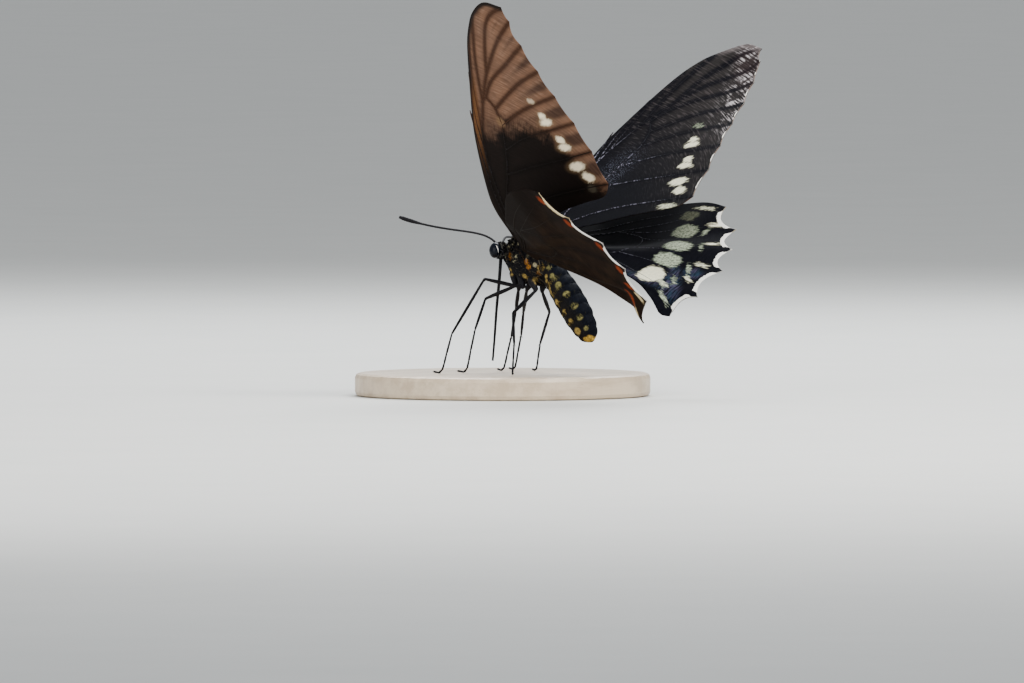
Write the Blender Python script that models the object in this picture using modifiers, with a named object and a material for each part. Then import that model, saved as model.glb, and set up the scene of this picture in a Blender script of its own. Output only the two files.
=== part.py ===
"""West Mexican swallowtail, life size, on a flat round display base with its wings raised in a V.

Sizes are metres. Places on the animal are given in its own axes: X to its left, Y towards its tail, Z up
through its back, from the point midway between the roots of the fore wings. BODY sets it on the base.
Each wing has its own flat plan: a runs outwards from the root, b towards the tail, w up off the upper side.
"""

import math

import bmesh
import bpy
from mathutils import Matrix, Vector
from mathutils.geometry import delaunay_2d_cdt, intersect_point_line

MM = 0.001
GAP = 0.3 * MM

BASE_RADIUS = 26 * MM
BASE_HEIGHT = 4 * MM
BASE_BEVEL = 0.8 * MM

# How the body stands over the base: it leans a little to its right and its nose is a little down.
BODY_HEIGHT = 24 * MM
BODY_SHIFT = Vector((-4.0, 3.0, 0)) * MM
BODY_ROLL = math.radians(-6.85)
BODY_PITCH = math.radians(1.35)
FOOT_LEVEL = BASE_HEIGHT + GAP

# The two hind wings leave the body at different places, which sets both as they stand in the photo.
FORE_ROOT = {"left": Vector((3.8, 0, 0)) * MM, "right": Vector((3.8, 0, 0)) * MM}
FORE_RAISED = {"left": math.radians(50.6), "right": math.radians(50.4)}
FORE_TWIST = math.radians(1.5)
HIND_ROOT = {"left": Vector((3.9, 2.35, -2.95)) * MM, "right": Vector((3.9, 2.8, -1.1)) * MM}
HIND_RAISED = {"left": math.radians(38.8), "right": math.radians(40.0)}
HIND_TWIST = math.radians(17.6)

MEMBRANE = 0.5 * MM
VEIN_RIDGE = 0.34 * MM
VEIN_HALF_WIDTH = 0.5 * MM
ROOT_SWELL = 0.5 * MM
OUTLINE_STEP = 3.2 * MM
VEIN_STEP = 3.6 * MM
FIELD_STEP = 5.0 * MM
FIELD_CLEAR = 2.0 * MM

# Fore wing plan in millimetres: leading edge, ends of the veins on the outer edge, then the inner edge.
FORE_LEADING = (
    (0, -1.3),
    (5, -2.6),
    (10, -2.3),
    (20, -0.3),
    (28, 2.6),
    (38, 6.9),
    (43, 10.0),
    (46.4, 13.3),
    (48.4, 17.0),
)
FORE_ENDS = {
    "R4": (47.5, 20.9),
    "R5": (44.8, 21.9),
    "M1": (40.2, 22.9),
    "M2": (34.8, 24.0),
    "M3": (29.3, 24.9),
    "CuA1": (23.4, 26.1),
    "CuA2": (17.4, 27.2),
    "2A": (10.6, 27.7),
}
FORE_INNER = ((8, 25.4), (6.6, 20.1), (5.3, 15.5), (3.9, 11.5), (1.4, 4), (0, 1.6))
# Depths in millimetres of the hollows between the veins' ends, from the tip in.
FORE_SCALLOPS = {"left": (0.45,) * 7, "right": (0.45,) * 7}
FORE_VEINS = {
    "Sc": ((0, -0.9), (10, -0.9), (25, 0.9)),
    "R": ((0, -0.2), (9, 0.1), (18, 1.2), (27.1, 5.5)),
    "R1": ((15, 0.8), (24, 1.9), (33, 4.6)),
    "R2": ((21, 2.2), (31, 4.8), (40, 8.1)),
    "R3": ((27.1, 5.5), (36, 8.1), (45, 12.0)),
    "R4": ((33, 9.6), (40, 12.9), (45.4, 16.8)),
    "R5": ((27.1, 5.5), (33, 9.6), (38.6, 14.7)),
    "M1": ((28.2, 6.9), (31.8, 10.2), (35.7, 16.2)),
    "M2": ((26, 8.3), (29.2, 13.1), (32.2, 18.2)),
    "M3": ((22.6, 8.3), (25.3, 13.6), (27.4, 19)),
    "CuA1": ((17.5, 6.5), (20.1, 12.6), (21.9, 20)),
    "CuA2": ((12.3, 4.3), (14.3, 12.6), (16, 21)),
    "Cu": ((0, 0.4), (6.6, 1.4), (12.3, 4.3), (17.5, 6.5), (22.6, 8.3)),
    "2A": ((0, 0.9), (3.4, 2.8), (7.1, 10.5), (9.3, 20)),
    "cell_end": ((27.1, 5.5), (28.2, 6.9), (26, 8.3), (22.6, 8.3)),
}

# Hind wing plan, the same way. Its outer edge is cut into teeth, one at each vein.
HIND_LEADING = ((0, -1.0), (6.6, 1.9), (12.7, 6.2), (18.0, 11.2), (20.7, 16.5))
HIND_ENDS = {
    "Rs": (20.9, 22.2),
    "M1": (16.2, 27.5),
    "M2": (9.8, 31.1),
    "M3": (3.9, 33.0),
    "CuA1": (-4.1, 32.9),
    "CuA2": (-8.9, 29.9),
}
HIND_INNER = ((-9.6, 28.4), (-9.0, 27.2), (-7.6, 25.1), (-5.0, 21), (-2.8, 15), (-1.5, 9), (-0.9, 4.2))
# Depths in millimetres of the hollows between the teeth. The last one, by the body, is shallower on the left.
HIND_SCALLOPS = {"left": (1.85, 1.85, 1.85, 1.85, 0.5), "right": (1.85, 1.85, 1.85, 1.85, 1.5)}
HIND_VEINS = {
    "Sc+R1": ((0, -0.2), (6.6, 3.8), (12.8, 9.4), (18.8, 17.0)),
    "Rs": ((0, 0.4), (6, 5.0), (10.9, 10.7), (16.9, 18)),
    "M1": ((8.2, 7.5), (10.6, 13.4), (14.2, 21)),
    "M2": ((8.4, 12.4), (9.4, 20.5)),
    "M3": ((4.8, 13.2), (5.5, 21)),
    "CuA1": ((2.2, 11.6), (1.4, 21)),
    "CuA2": ((0.8, 8.4), (-1.4, 17), (-4.2, 24)),
    "Cu": ((0, 1.1), (0.8, 8.4), (2.2, 11.6), (4.8, 13.2)),
    "cell_end": ((4.8, 13.2), (8.4, 12.4), (8.2, 7.5)),
}

# Body sections: place along the form from 0 to 1, then half width, height above and depth below its line.
THORAX_LINE = (Vector((0, -5.2, -2.7)) * MM, Vector((0, 5.2, -6.1)) * MM)
THORAX_FORM = (
    (0.0, 1.4, 1.4, 1.4),
    (0.15, 2.4, 2.8, 2.6),
    (0.35, 3.3, 4.6, 3.9),
    (0.6, 3.5, 5.2, 4.4),
    (0.85, 3.0, 4.2, 3.8),
    (1.0, 2.0, 2.6, 2.4),
)
ABDOMEN_LINE = (Vector((0, 4.6, -5.4)) * MM, Vector((0, 10.9, -12.3)) * MM, Vector((0, 16.4, -19.1)) * MM)
ABDOMEN_FORM = (
    (0.0, 1.9, 2.1, 2.1),
    (0.12, 2.3, 2.6, 2.5),
    (0.4, 2.7, 3.0, 3.0),
    (0.65, 2.7, 3.0, 3.0),
    (0.85, 2.2, 2.5, 2.5),
    (1.0, 1.2, 1.3, 1.3),
)
ABDOMEN_SEGMENTS = 8
SEGMENT_FOLD = 0.05

HEAD_MIDDLE = Vector((0, -6.8, -2.85)) * MM
HEAD_RADII = Vector((1.75, 1.55, 1.65)) * MM
EYE_MIDDLE = Vector((1.28, -7.05, -2.9)) * MM
EYE_RADII = Vector((0.92, 1.12, 1.38)) * MM
PALP_MIDDLE = Vector((0.42, -8.1, -3.0)) * MM
PALP_RADII = Vector((0.42, 0.5, 1.25)) * MM

ANTENNA_ROOT = Vector((0.7, -7.2, -1.75)) * MM
# Each antenna's turn out from straight ahead: the right one is spread wider, as the animal holds it.
ANTENNA_SPREAD = {"left": math.radians(45), "right": math.radians(57)}
ANTENNA_REACH = 17.6 * MM
ANTENNA_RADIUS = 0.26 * MM
CLUB_RADIUS = 0.38 * MM
CLUB_START = 0.76

PROBOSCIS_POINTS = ((0, -6.7, -4.0), (0, -6.75, -8), (0, -6.95, -13), (0, -7.0, -18), (0, -7.1, -22.4))
PROBOSCIS_RADIUS = 0.3 * MM

# Each leg in millimetres: hip, second joint, knee, ankle and toe. The toe's height is worked out later.
LEGS = {
    "leg_left_front": (
        (1.3, -2.6, -6.8),
        (1.6, -1.2, -9.2),
        (4.0, -6.1, -11.7),
        (5.5, -6.7, -17.2),
        (7.0, -8.9),
    ),
    "leg_left_middle": (
        (1.9, -0.2, -7.4),
        (1.9, 0.9, -9.6),
        (8.0, -3.0, -8.6),
        (11.6, -6.6, -18.6),
        (12.4, -9.6),
    ),
    "leg_left_hind": (
        (1.9, 2.2, -8.0),
        (1.9, 3.9, -10.0),
        (6.5, 2.9, -14.5),
        (8.0, 5.0, -20.0),
        (9.6, 6.6),
    ),
    "leg_right_front": (
        (-1.3, -2.6, -6.8),
        (-1.3, -3.2, -9.5),
        (-3.5, -5.5, -12.6),
        (-3.6, -6.3, -17.6),
        (-4.0, -9.4),
    ),
    "leg_right_middle": (
        (-1.9, -0.2, -7.4),
        (-1.9, -1.8, -9.5),
        (-7.0, -6.9, -13.0),
        (-9.0, -8.9, -16.9),
        (-9.4, -11.6),
    ),
    "leg_right_hind": (
        (-1.9, 2.2, -8.0),
        (-1.9, 1.8, -9.8),
        (-6.0, 0.2, -13.1),
        (-6.4, -1.9, -18.6),
        (-7.4, -4.2),
    ),
}
HIP_RADIUS = 0.72 * MM
FEMUR_RADIUS = 0.38 * MM
TIBIA_RADIUS = 0.29 * MM
TARSUS_RADIUS = 0.26 * MM
TOE_LENGTH = 1.5 * MM

BODY = (
    Matrix.Translation(BODY_SHIFT + Vector((0, 0, FOOT_LEVEL + BODY_HEIGHT)))
    @ Matrix.Rotation(BODY_ROLL, 4, "Y")
    @ Matrix.Rotation(BODY_PITCH, 4, "X")
)


def clear_scene():
    for old in list(bpy.data.objects):
        bpy.data.objects.remove(old, do_unlink=True)


def collection(name, hidden=False):
    made = bpy.data.collections.new(name)
    made.hide_render = hidden
    bpy.context.scene.collection.children.link(made)
    return made


def material(name, colour, roughness, metallic=0.0):
    made = bpy.data.materials.new(name)
    made.use_nodes = True
    shader = made.node_tree.nodes["Principled BSDF"]
    shader.inputs["Base Color"].default_value = (*colour, 1)
    shader.inputs["Roughness"].default_value = roughness
    shader.inputs["Metallic"].default_value = metallic
    return made


def add_object(name, mesh, where, finish=None):
    made = bpy.data.objects.new(name, mesh)
    where.objects.link(made)
    if finish:
        mesh.materials.clear()
        mesh.materials.append(finish)
    mesh.shade_smooth()
    mesh.set_sharp_from_angle(angle=math.radians(40))
    return made


def mesh_of(bm, name):
    bmesh.ops.recalc_face_normals(bm, faces=bm.faces)
    mesh = bpy.data.meshes.new(name)
    bm.to_mesh(mesh)
    bm.free()
    return mesh


def evaluated_mesh(made):
    bpy.context.view_layer.update()
    graph = bpy.context.evaluated_depsgraph_get()
    mesh = bpy.data.meshes.new_from_object(made.evaluated_get(graph))
    mesh.transform(made.matrix_world)
    return mesh


def smooth_curve(points, step):
    """Points about a step apart on a smooth curve through the given ones, ends included."""
    points = [Vector(p) for p in points]
    line = [points[0]]
    for i in range(len(points) - 1):
        start, end = points[i], points[i + 1]
        before = points[i - 1] if i else 2 * start - end
        after = points[i + 2] if i + 2 < len(points) else 2 * end - start
        count = max(1, round((end - start).length / step))
        for k in range(1, count + 1):
            t = k / count
            line.append(
                0.5
                * (
                    2 * start
                    + (end - before) * t
                    + (2 * before - 5 * start + 4 * end - after) * t**2
                    + (3 * start - before - 3 * end + after) * t**3
                )
            )
    return line


def between(table, t):
    """The row of sizes at t, eased from one row of the table to the next."""
    for low, high in zip(table, table[1:]):
        if t <= high[0]:
            k = (t - low[0]) / (high[0] - low[0])
            k = k * k * (3 - 2 * k) * 0.5 + k * 0.5
            return [a + (b - a) * k for a, b in zip(low[1:], high[1:])]
    return list(table[-1][1:])


def ease(low, high, x):
    k = min(1, max(0, (x - low) / (high - low)))
    return k * k * (3 - 2 * k)


def plan(points):
    return [Vector(p[:2]) * MM for p in points]


def scalloped_edge(ends, depths, step):
    """The outer edge from one vein's end to the next, hollowed towards the root between them."""
    ends = plan(ends)
    line = []
    for start, end, depth in zip(ends, ends[1:], depths):
        along = end - start
        inward = Vector((along.y, -along.x)).normalized()
        if inward.dot(-(start + end)) < 0:
            inward = -inward
        count = max(4, round(along.length / step))
        for k in range(count):
            t = k / count
            line.append(start + along * t + inward * depth * MM * math.sin(math.pi * t) ** 0.8)
    return line + [ends[-1]]


def wing_outline(leading, ends, inner, scallops, root_depth):
    """The closed outline of a wing's plan, with a tongue at the root that runs into the body."""
    front = smooth_curve(plan(leading) + plan([next(iter(ends.values()))]), OUTLINE_STEP)
    outer = scalloped_edge(list(ends.values()), scallops, OUTLINE_STEP * 0.55)
    back = smooth_curve([outer[-1]] + plan(inner), OUTLINE_STEP)
    tongue = [Vector((-root_depth, back[-1].y * 0.6)), Vector((-root_depth, front[0].y + 0.3 * MM))]
    return front[:-1] + outer + back[1:] + tongue


def inside(point, outline):
    crossings = 0
    for start, end in zip(outline, outline[1:] + outline[:1]):
        if (start.y > point.y) != (end.y > point.y):
            at = start.x + (point.y - start.y) * (end.x - start.x) / (end.y - start.y)
            crossings += at > point.x
    return crossings % 2 == 1


def distance_to(point, line):
    nearest = math.inf
    for start, end in zip(line, line[1:]):
        at, k = intersect_point_line(point, start, end)
        at = Vector(at[:2])
        if k < 0:
            at = start
        elif k > 1:
            at = end
        nearest = min(nearest, (point - at).length)
    return nearest


def vein_lines(veins, ends):
    """The middle line of every vein, out to its end on the edge of the wing."""
    lines = []
    for name, points in veins.items():
        line = plan(points)
        if name in ends:
            line += plan([ends[name]])
        lines.append(smooth_curve(line, VEIN_STEP))
    return lines


class WingPlan:
    """Collects the points and lines of a wing's plan, each kept clear of the ones before it."""

    def __init__(self, outline, veins):
        self.outline = outline
        self.veins = veins
        self.points = list(outline)
        count = len(outline)
        self.edges = [(i, (i + 1) % count) for i in range(count)]
        for vein in veins:
            self.add_line(vein)
        for vein in veins:
            self.add_flanks(vein)
        self.add_field()

    def index_of(self, point, within):
        for i, other in enumerate(self.points):
            if (other - point).length < within:
                return i
        return None

    def add_line(self, line):
        last = None
        for point in line:
            at = self.index_of(point, 0.35 * MM)
            if at is None:
                at = len(self.points)
                self.points.append(point)
            if last is not None and at != last:
                self.edges.append((last, at))
            last = at

    def add_flanks(self, vein):
        loop = self.outline + self.outline[:1]
        for side in (-1, 1):
            for i in range(1, len(vein) - 1):
                along = (vein[i + 1] - vein[i - 1]).normalized()
                point = vein[i] + Vector((along.y, -along.x)) * side * VEIN_HALF_WIDTH
                others = [line for line in self.veins if line is not vein]
                if not inside(point, self.outline) or distance_to(point, loop) < 0.5 * MM:
                    continue
                if min(distance_to(point, line) for line in others) < 0.5 * MM:
                    continue
                self.points.append(point)

    def add_field(self):
        loop = self.outline + self.outline[:1]
        lows = [min(p[k] for p in self.outline) for k in (0, 1)]
        highs = [max(p[k] for p in self.outline) for k in (0, 1)]
        rows = int((highs[1] - lows[1]) / FIELD_STEP) + 2
        columns = int((highs[0] - lows[0]) / FIELD_STEP) + 2
        for row in range(rows):
            for column in range(columns):
                shift = 0.5 * (row % 2)
                point = Vector((lows[0] + (column + shift) * FIELD_STEP, lows[1] + row * FIELD_STEP))
                if not inside(point, self.outline) or distance_to(point, loop) < FIELD_CLEAR:
                    continue
                if min(distance_to(point, line) for line in self.veins) < FIELD_CLEAR:
                    continue
                self.points.append(point)

    def triangles(self):
        points, _, faces, *_ = delaunay_2d_cdt(self.points, self.edges, [], 0, 0.00001 * MM)
        kept = []
        for face in faces:
            middle = sum((points[i] for i in face), Vector((0, 0))) / len(face)
            if inside(middle, self.outline):
                kept.append(face)
        return points, kept


def fore_camber(a, b):
    """How far the fore wing rises towards its upper side.

    It rises most along the leading edge near the tip, and its outer edge droops.
    """
    a, b = a / MM, b / MM
    leading = -2.4 + 0.0045 * max(0, a - 4) ** 2 + 0.05 * max(0, a - 12)
    across = min(1, max(0, (b - leading) / 15))
    rise = 2.1 * ease(0, 43, a) - 1.2 * ease(43, 49, a)
    from_outer_edge = 29.8 - 0.2 * a - b
    droop = 1.1 * ease(20, 38, a) * ease(47, 42, a) * ease(10, 1, from_outer_edge)
    return (rise * (1 - across) ** 2 - droop) * MM


def hind_camber(a, b):
    """How far the hind wing rises towards its upper side.

    Its middle teeth and inner edge lift, its inner lobe drops, and the fore wing presses it down.
    """
    angle = math.degrees(math.atan2(a, max(b, MM)))
    reach = math.hypot(a, b) / MM
    out = ease(6, 32, reach)
    lift = 1.25 * ease(30, 16, angle) * ease(-15, -7, angle)
    fold = 1.6 * ease(-5, -13, angle) * ease(30, 25, b / MM)
    drop = 0.45 * ease(-5, -16, angle) * ease(25, 30, b / MM)
    under_fore_wing = 1.35 * ease(12, 28, angle) * ease(3, 10, reach) * ease(21, 13, b / MM)
    return (out * (lift + fold - drop) - under_fore_wing) * MM


def wing_mesh(name, outline, veins, camber):
    wing = WingPlan(outline, veins)
    points, faces = wing.triangles()
    used = sorted({i for face in faces for i in face})
    bm = bmesh.new()
    rows = {i: bm.verts.new((points[i].x, points[i].y, camber(points[i].x, points[i].y))) for i in used}
    for face in faces:
        bm.faces.new([rows[i] for i in face])
    mesh = mesh_of(bm, name)
    if mesh.polygons[0].normal.z < 0:
        mesh.flip_normals()
    thickest = MEMBRANE + VEIN_RIDGE + ROOT_SWELL
    share = []
    for vertex in mesh.vertices:
        point = Vector(vertex.co[:2])
        near = min(distance_to(point, vein) for vein in veins)
        ridge = VEIN_RIDGE * max(0, 1 - near / VEIN_HALF_WIDTH)
        swell = ROOT_SWELL * math.exp(-max(0, point.length) / (2.5 * MM))
        share.append((MEMBRANE + ridge + swell) / thickest)
    return mesh, share, thickest


def wing_axes(root, raised, twist):
    """The matrix from a left wing's plan to the body's axes."""
    out = Vector((math.cos(raised), 0, math.sin(raised)))
    up = Vector((-math.sin(raised), 0, math.cos(raised)))
    back = Vector((0, math.cos(twist), 0)) - up * math.sin(twist)
    top = out.cross(back)
    turn = Matrix((out, back, top)).transposed().to_4x4()
    return Matrix.Translation(root) @ turn


def solid_wing(name, outline, veins, camber, place, where, finish):
    """A closed wing with veins raised on both faces, in the body's axes."""
    mesh, share, thickest = wing_mesh(name, outline, veins, camber)
    made = add_object(name, mesh, where, finish)
    made.matrix_world = place
    group = made.vertex_groups.new(name="thickness")
    for i, part_of_it in enumerate(share):
        group.add([i], part_of_it, "REPLACE")
    solid = made.modifiers.new("thickness", "SOLIDIFY")
    solid.thickness = thickest
    solid.offset = 0
    solid.vertex_group = group.name
    solid_mesh = evaluated_mesh(made)
    bpy.data.objects.remove(made, do_unlink=True)
    return solid_mesh


def mirrored(mesh):
    other = mesh.copy()
    other.transform(Matrix.Scale(-1, 4, (1, 0, 0)))
    other.flip_normals()
    return other


def blob(bm, middle, radii, segments=16, rings=10):
    placed = Matrix.Translation(middle) @ Matrix.Diagonal((*radii, 1))
    bmesh.ops.create_uvsphere(bm, u_segments=segments, v_segments=rings, radius=1, matrix=placed)


def form(name, line, sections, segments, rings, fold=lambda t: 1.0, corner=2.0):
    """A closed form along a line: a ball whose rings take their sizes from the sections."""
    bm = bmesh.new()
    bmesh.ops.create_uvsphere(bm, u_segments=segments, v_segments=rings, radius=1)
    spine = smooth_curve(line, 0.5 * MM)
    for vert in bm.verts:
        polar = math.acos(max(-1, min(1, vert.co.z))) / math.pi
        t = 0.5 - 0.5 * math.cos(math.pi * polar)
        at = t * (len(spine) - 1)
        low = min(int(at), len(spine) - 2)
        middle = spine[low].lerp(spine[low + 1], at - low)
        along = (spine[low + 1] - spine[low]).normalized()
        side = Vector((1, 0, 0))
        up = along.cross(side)
        if up.z < 0:
            up = -up
        half_width, height, depth = (size * MM for size in between(sections, t))
        around = math.atan2(vert.co.y, vert.co.x)
        cos, sin = math.cos(around), math.sin(around)
        stretch = (abs(cos) ** corner + abs(sin) ** corner) ** (-1 / corner)
        ends = min(1, math.sin(math.pi * polar) * 1.9) ** 0.8 if 0 < polar < 1 else 0
        tall = height if sin > 0 else depth
        reach = stretch * ends * fold(t)
        vert.co = middle + (side * cos * half_width + up * sin * tall) * reach
    return mesh_of(bm, name)


def tube(name, points, radii):
    """A round rod through the points, in the body's axes, as a closed mesh."""
    curve = bpy.data.curves.new(name, "CURVE")
    curve.dimensions = "3D"
    curve.bevel_depth = 1
    curve.bevel_resolution = 2
    curve.use_fill_caps = True
    spline = curve.splines.new("POLY")
    spline.points.add(len(points) - 1)
    for at, point, radius in zip(spline.points, points, radii):
        at.co = (*point, 1)
        at.radius = radius
    made = bpy.data.objects.new(name, curve)
    bpy.context.scene.collection.objects.link(made)
    mesh = evaluated_mesh(made)
    bpy.data.objects.remove(made, do_unlink=True)
    bm = bmesh.new()
    bm.from_mesh(mesh)
    bmesh.ops.remove_doubles(bm, verts=bm.verts, dist=0.001 * MM)
    return mesh_of(bm, name)


def grown(name, mesh, by, cutters):
    """A cutter: the mesh pushed out along its normals."""
    bm = bmesh.new()
    bm.from_mesh(mesh)
    bm.normal_update()
    moved = [(vert, vert.co + vert.normal * by) for vert in bm.verts]
    for vert, place in moved:
        vert.co = place
    bigger = bpy.data.meshes.new(name)
    bm.to_mesh(bigger)
    bm.free()
    made = bpy.data.objects.new(name, bigger)
    cutters.objects.link(made)
    made.display_type = "WIRE"
    made.hide_render = True
    return made


def combine(target, others, operation):
    """Applies a Boolean with each of the other objects, and keeps the largest closed surface."""
    for other in others:
        boolean = target.modifiers.new("combine", "BOOLEAN")
        boolean.operation = operation
        boolean.object = other
    mesh = evaluated_mesh(target)
    target.modifiers.clear()
    bm = bmesh.new()
    bm.from_mesh(mesh)
    pieces = []
    left = set(bm.faces)
    while left:
        stack = [left.pop()]
        piece = list(stack)
        while stack:
            for edge in stack.pop().edges:
                for face in edge.link_faces:
                    if face in left:
                        left.remove(face)
                        stack.append(face)
                        piece.append(face)
        pieces.append(piece)
    pieces.sort(key=lambda piece: sum(face.calc_area() for face in piece))
    loose = [face for piece in pieces[:-1] for face in piece]
    bmesh.ops.delete(bm, geom=loose, context="FACES")
    finish = target.data.materials[0]
    bm.to_mesh(mesh)
    bm.free()
    target.data = mesh
    mesh.materials.clear()
    mesh.materials.append(finish)


def make_base(where, finish):
    bm = bmesh.new()
    bmesh.ops.create_cone(
        bm,
        cap_ends=True,
        segments=64,
        radius1=BASE_RADIUS,
        radius2=BASE_RADIUS,
        depth=BASE_HEIGHT,
        matrix=Matrix.Translation((0, 0, BASE_HEIGHT / 2)),
    )
    made = add_object("stand_base", mesh_of(bm, "stand_base"), where, finish)
    edge = made.modifiers.new("edge", "BEVEL")
    edge.width = BASE_BEVEL
    edge.segments = 2
    edge.angle_limit = math.radians(50)
    edge.limit_method = "ANGLE"


def abdomen_fold(t):
    """Segments swell a little between the folds that part them."""
    return 1 - SEGMENT_FOLD * abs(math.cos(math.pi * ABDOMEN_SEGMENTS * t)) ** 6


def make_body(where, finish):
    thorax_mesh = form("thorax", THORAX_LINE, THORAX_FORM, 24, 16, corner=2.4)
    abdomen_mesh = form("abdomen", ABDOMEN_LINE, ABDOMEN_FORM, 20, 44, fold=abdomen_fold)
    return (
        add_object("thorax", thorax_mesh, where, finish),
        add_object("abdomen", abdomen_mesh, where, finish),
    )


def make_head(where, cutters, finish):
    bm = bmesh.new()
    blob(bm, HEAD_MIDDLE, HEAD_RADII, 20, 12)
    head = add_object("head", mesh_of(bm, "head"), where, finish)
    palps = []
    for side in (-1, 1):
        bm = bmesh.new()
        blob(bm, Vector((side * PALP_MIDDLE.x, PALP_MIDDLE.y, PALP_MIDDLE.z)), PALP_RADII, 10, 8)
        palps.append(add_object("palp", mesh_of(bm, "palp"), cutters, finish))
    combine(head, palps, "UNION")
    return head


def make_eyes(where, finish):
    eyes = []
    for side, name in ((1, "eye_left"), (-1, "eye_right")):
        bm = bmesh.new()
        blob(bm, Vector((side * EYE_MIDDLE.x, EYE_MIDDLE.y, EYE_MIDDLE.z)), EYE_RADII, 16, 12)
        eyes.append(add_object(name, mesh_of(bm, name), where, finish))
    return eyes


def antenna_height(s):
    """Height of the antenna over its root at the distance s: a quick rise, a level run, a lifted club."""
    s = s / MM
    return (1.9 * (1 - math.exp(-s / 1.8)) + 1.6 * (s / 17) ** 3) * MM


def make_antennae(where, finish):
    made = []
    for name, side in (("left", 1), ("right", -1)):
        points, radii = [], []
        spread = ANTENNA_SPREAD[name]
        count = 14
        for k in range(count + 1):
            t = (k / count) ** 1.25
            s = t * ANTENNA_REACH
            out = Vector((side * math.sin(spread), -math.cos(spread), 0)) * s
            points.append(
                Vector((side * ANTENNA_ROOT.x, ANTENNA_ROOT.y, ANTENNA_ROOT.z + antenna_height(s))) + out
            )
            club = ease(CLUB_START, 0.9, t) - 0.5 * ease(0.94, 1, t)
            radii.append(ANTENNA_RADIUS + (CLUB_RADIUS - ANTENNA_RADIUS) * club)
        name = f"antenna_{name}"
        made.append(add_object(name, tube(name, points, radii), where, finish))
    return made


def make_proboscis(where, finish):
    points = smooth_curve([Vector(p) * MM for p in PROBOSCIS_POINTS], 1.8 * MM)
    radii = [PROBOSCIS_RADIUS * (1 - 0.25 * i / (len(points) - 1)) for i in range(len(points))]
    return add_object("proboscis", tube("proboscis", points, radii), where, finish)


def on_base(x, y, height):
    """The point over (x, y) of the body's axes that lies at the height over the base's foot level."""
    low = BODY @ Vector((x, y, 0))
    drop = (low.z - FOOT_LEVEL - height) / BODY.to_3x3().col[2].z
    return Vector((x, y, -drop))


def leg_points(hip, bend, knee, ankle, toe):
    """Middle line and radii of a leg from the hip down to the toe, which lies along the base."""
    hip, bend, knee, ankle = (Vector(p) * MM for p in (hip, bend, knee, ankle))
    toe_x, toe_y = toe[0] * MM, toe[1] * MM
    reach = Vector((toe_x, toe_y, 0)) - Vector((ankle.x, ankle.y, 0))
    heel = Vector((toe_x, toe_y, 0)) - reach.normalized() * TOE_LENGTH
    heel = on_base(heel.x, heel.y, 0.5 * TARSUS_RADIUS)
    tip = on_base(toe_x, toe_y, 0.5 * TARSUS_RADIUS)
    thigh = bend.lerp(knee, 0.45) + Vector((0, 0, 0.2 * MM))
    shin = knee.lerp(ankle, 0.5)
    instep = ankle.lerp(heel, 0.55) + Vector((0, 0, -0.15 * MM))
    return (
        (hip, HIP_RADIUS),
        (hip.lerp(bend, 0.6), HIP_RADIUS),
        (bend, 0.8 * HIP_RADIUS),
        (bend.lerp(knee, 0.12), FEMUR_RADIUS),
        (thigh, FEMUR_RADIUS),
        (knee.lerp(bend, 0.08), 0.9 * FEMUR_RADIUS),
        (knee.lerp(ankle, 0.08), TIBIA_RADIUS),
        (shin, TIBIA_RADIUS),
        (ankle, 1.05 * TIBIA_RADIUS),
        (instep, TARSUS_RADIUS),
        (heel, TARSUS_RADIUS),
        (tip, 0.8 * TARSUS_RADIUS),
    )


def make_legs(where, finish):
    made = []
    floor = BODY.inverted() @ Vector((0, 0, FOOT_LEVEL))
    down = -(BODY.to_3x3().inverted() @ Vector((0, 0, 1)))
    for name, joints in LEGS.items():
        line = leg_points(*joints)
        mesh = tube(name, [point for point, _ in line], [radius for _, radius in line])
        bm = bmesh.new()
        bm.from_mesh(mesh)
        cut = bmesh.ops.bisect_plane(
            bm,
            geom=bm.verts[:] + bm.edges[:] + bm.faces[:],
            plane_co=floor,
            plane_no=down,
            clear_outer=True,
        )
        edges = [item for item in cut["geom_cut"] if isinstance(item, bmesh.types.BMEdge)]
        bmesh.ops.edgeloop_fill(bm, edges=edges)
        made.append(add_object(name, mesh_of(bm, name), where, finish))
    return made


def make_wings(where, finish):
    plans = (
        (
            "forewing",
            (FORE_LEADING, FORE_ENDS, FORE_INNER),
            FORE_SCALLOPS,
            2.4 * MM,
            vein_lines(FORE_VEINS, FORE_ENDS),
            fore_camber,
            (FORE_ROOT, FORE_RAISED, FORE_TWIST),
        ),
        (
            "hindwing",
            (HIND_LEADING, HIND_ENDS, HIND_INNER),
            HIND_SCALLOPS,
            2.2 * MM,
            vein_lines(HIND_VEINS, HIND_ENDS),
            hind_camber,
            (HIND_ROOT, HIND_RAISED, HIND_TWIST),
        ),
    )
    made = []
    for name, lines, scallops, root_depth, veins, camber, (root, raised, twist) in plans:
        for side in ("left", "right"):
            outline = wing_outline(*lines, scallops[side], root_depth)
            place = wing_axes(root[side], raised[side], twist)
            mesh = solid_wing(name, outline, veins, camber, place, where, finish)
            if side == "right":
                mesh = mirrored(mesh)
            made.append(add_object(f"{name}_{side}", mesh, where, finish))
    return made


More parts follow.
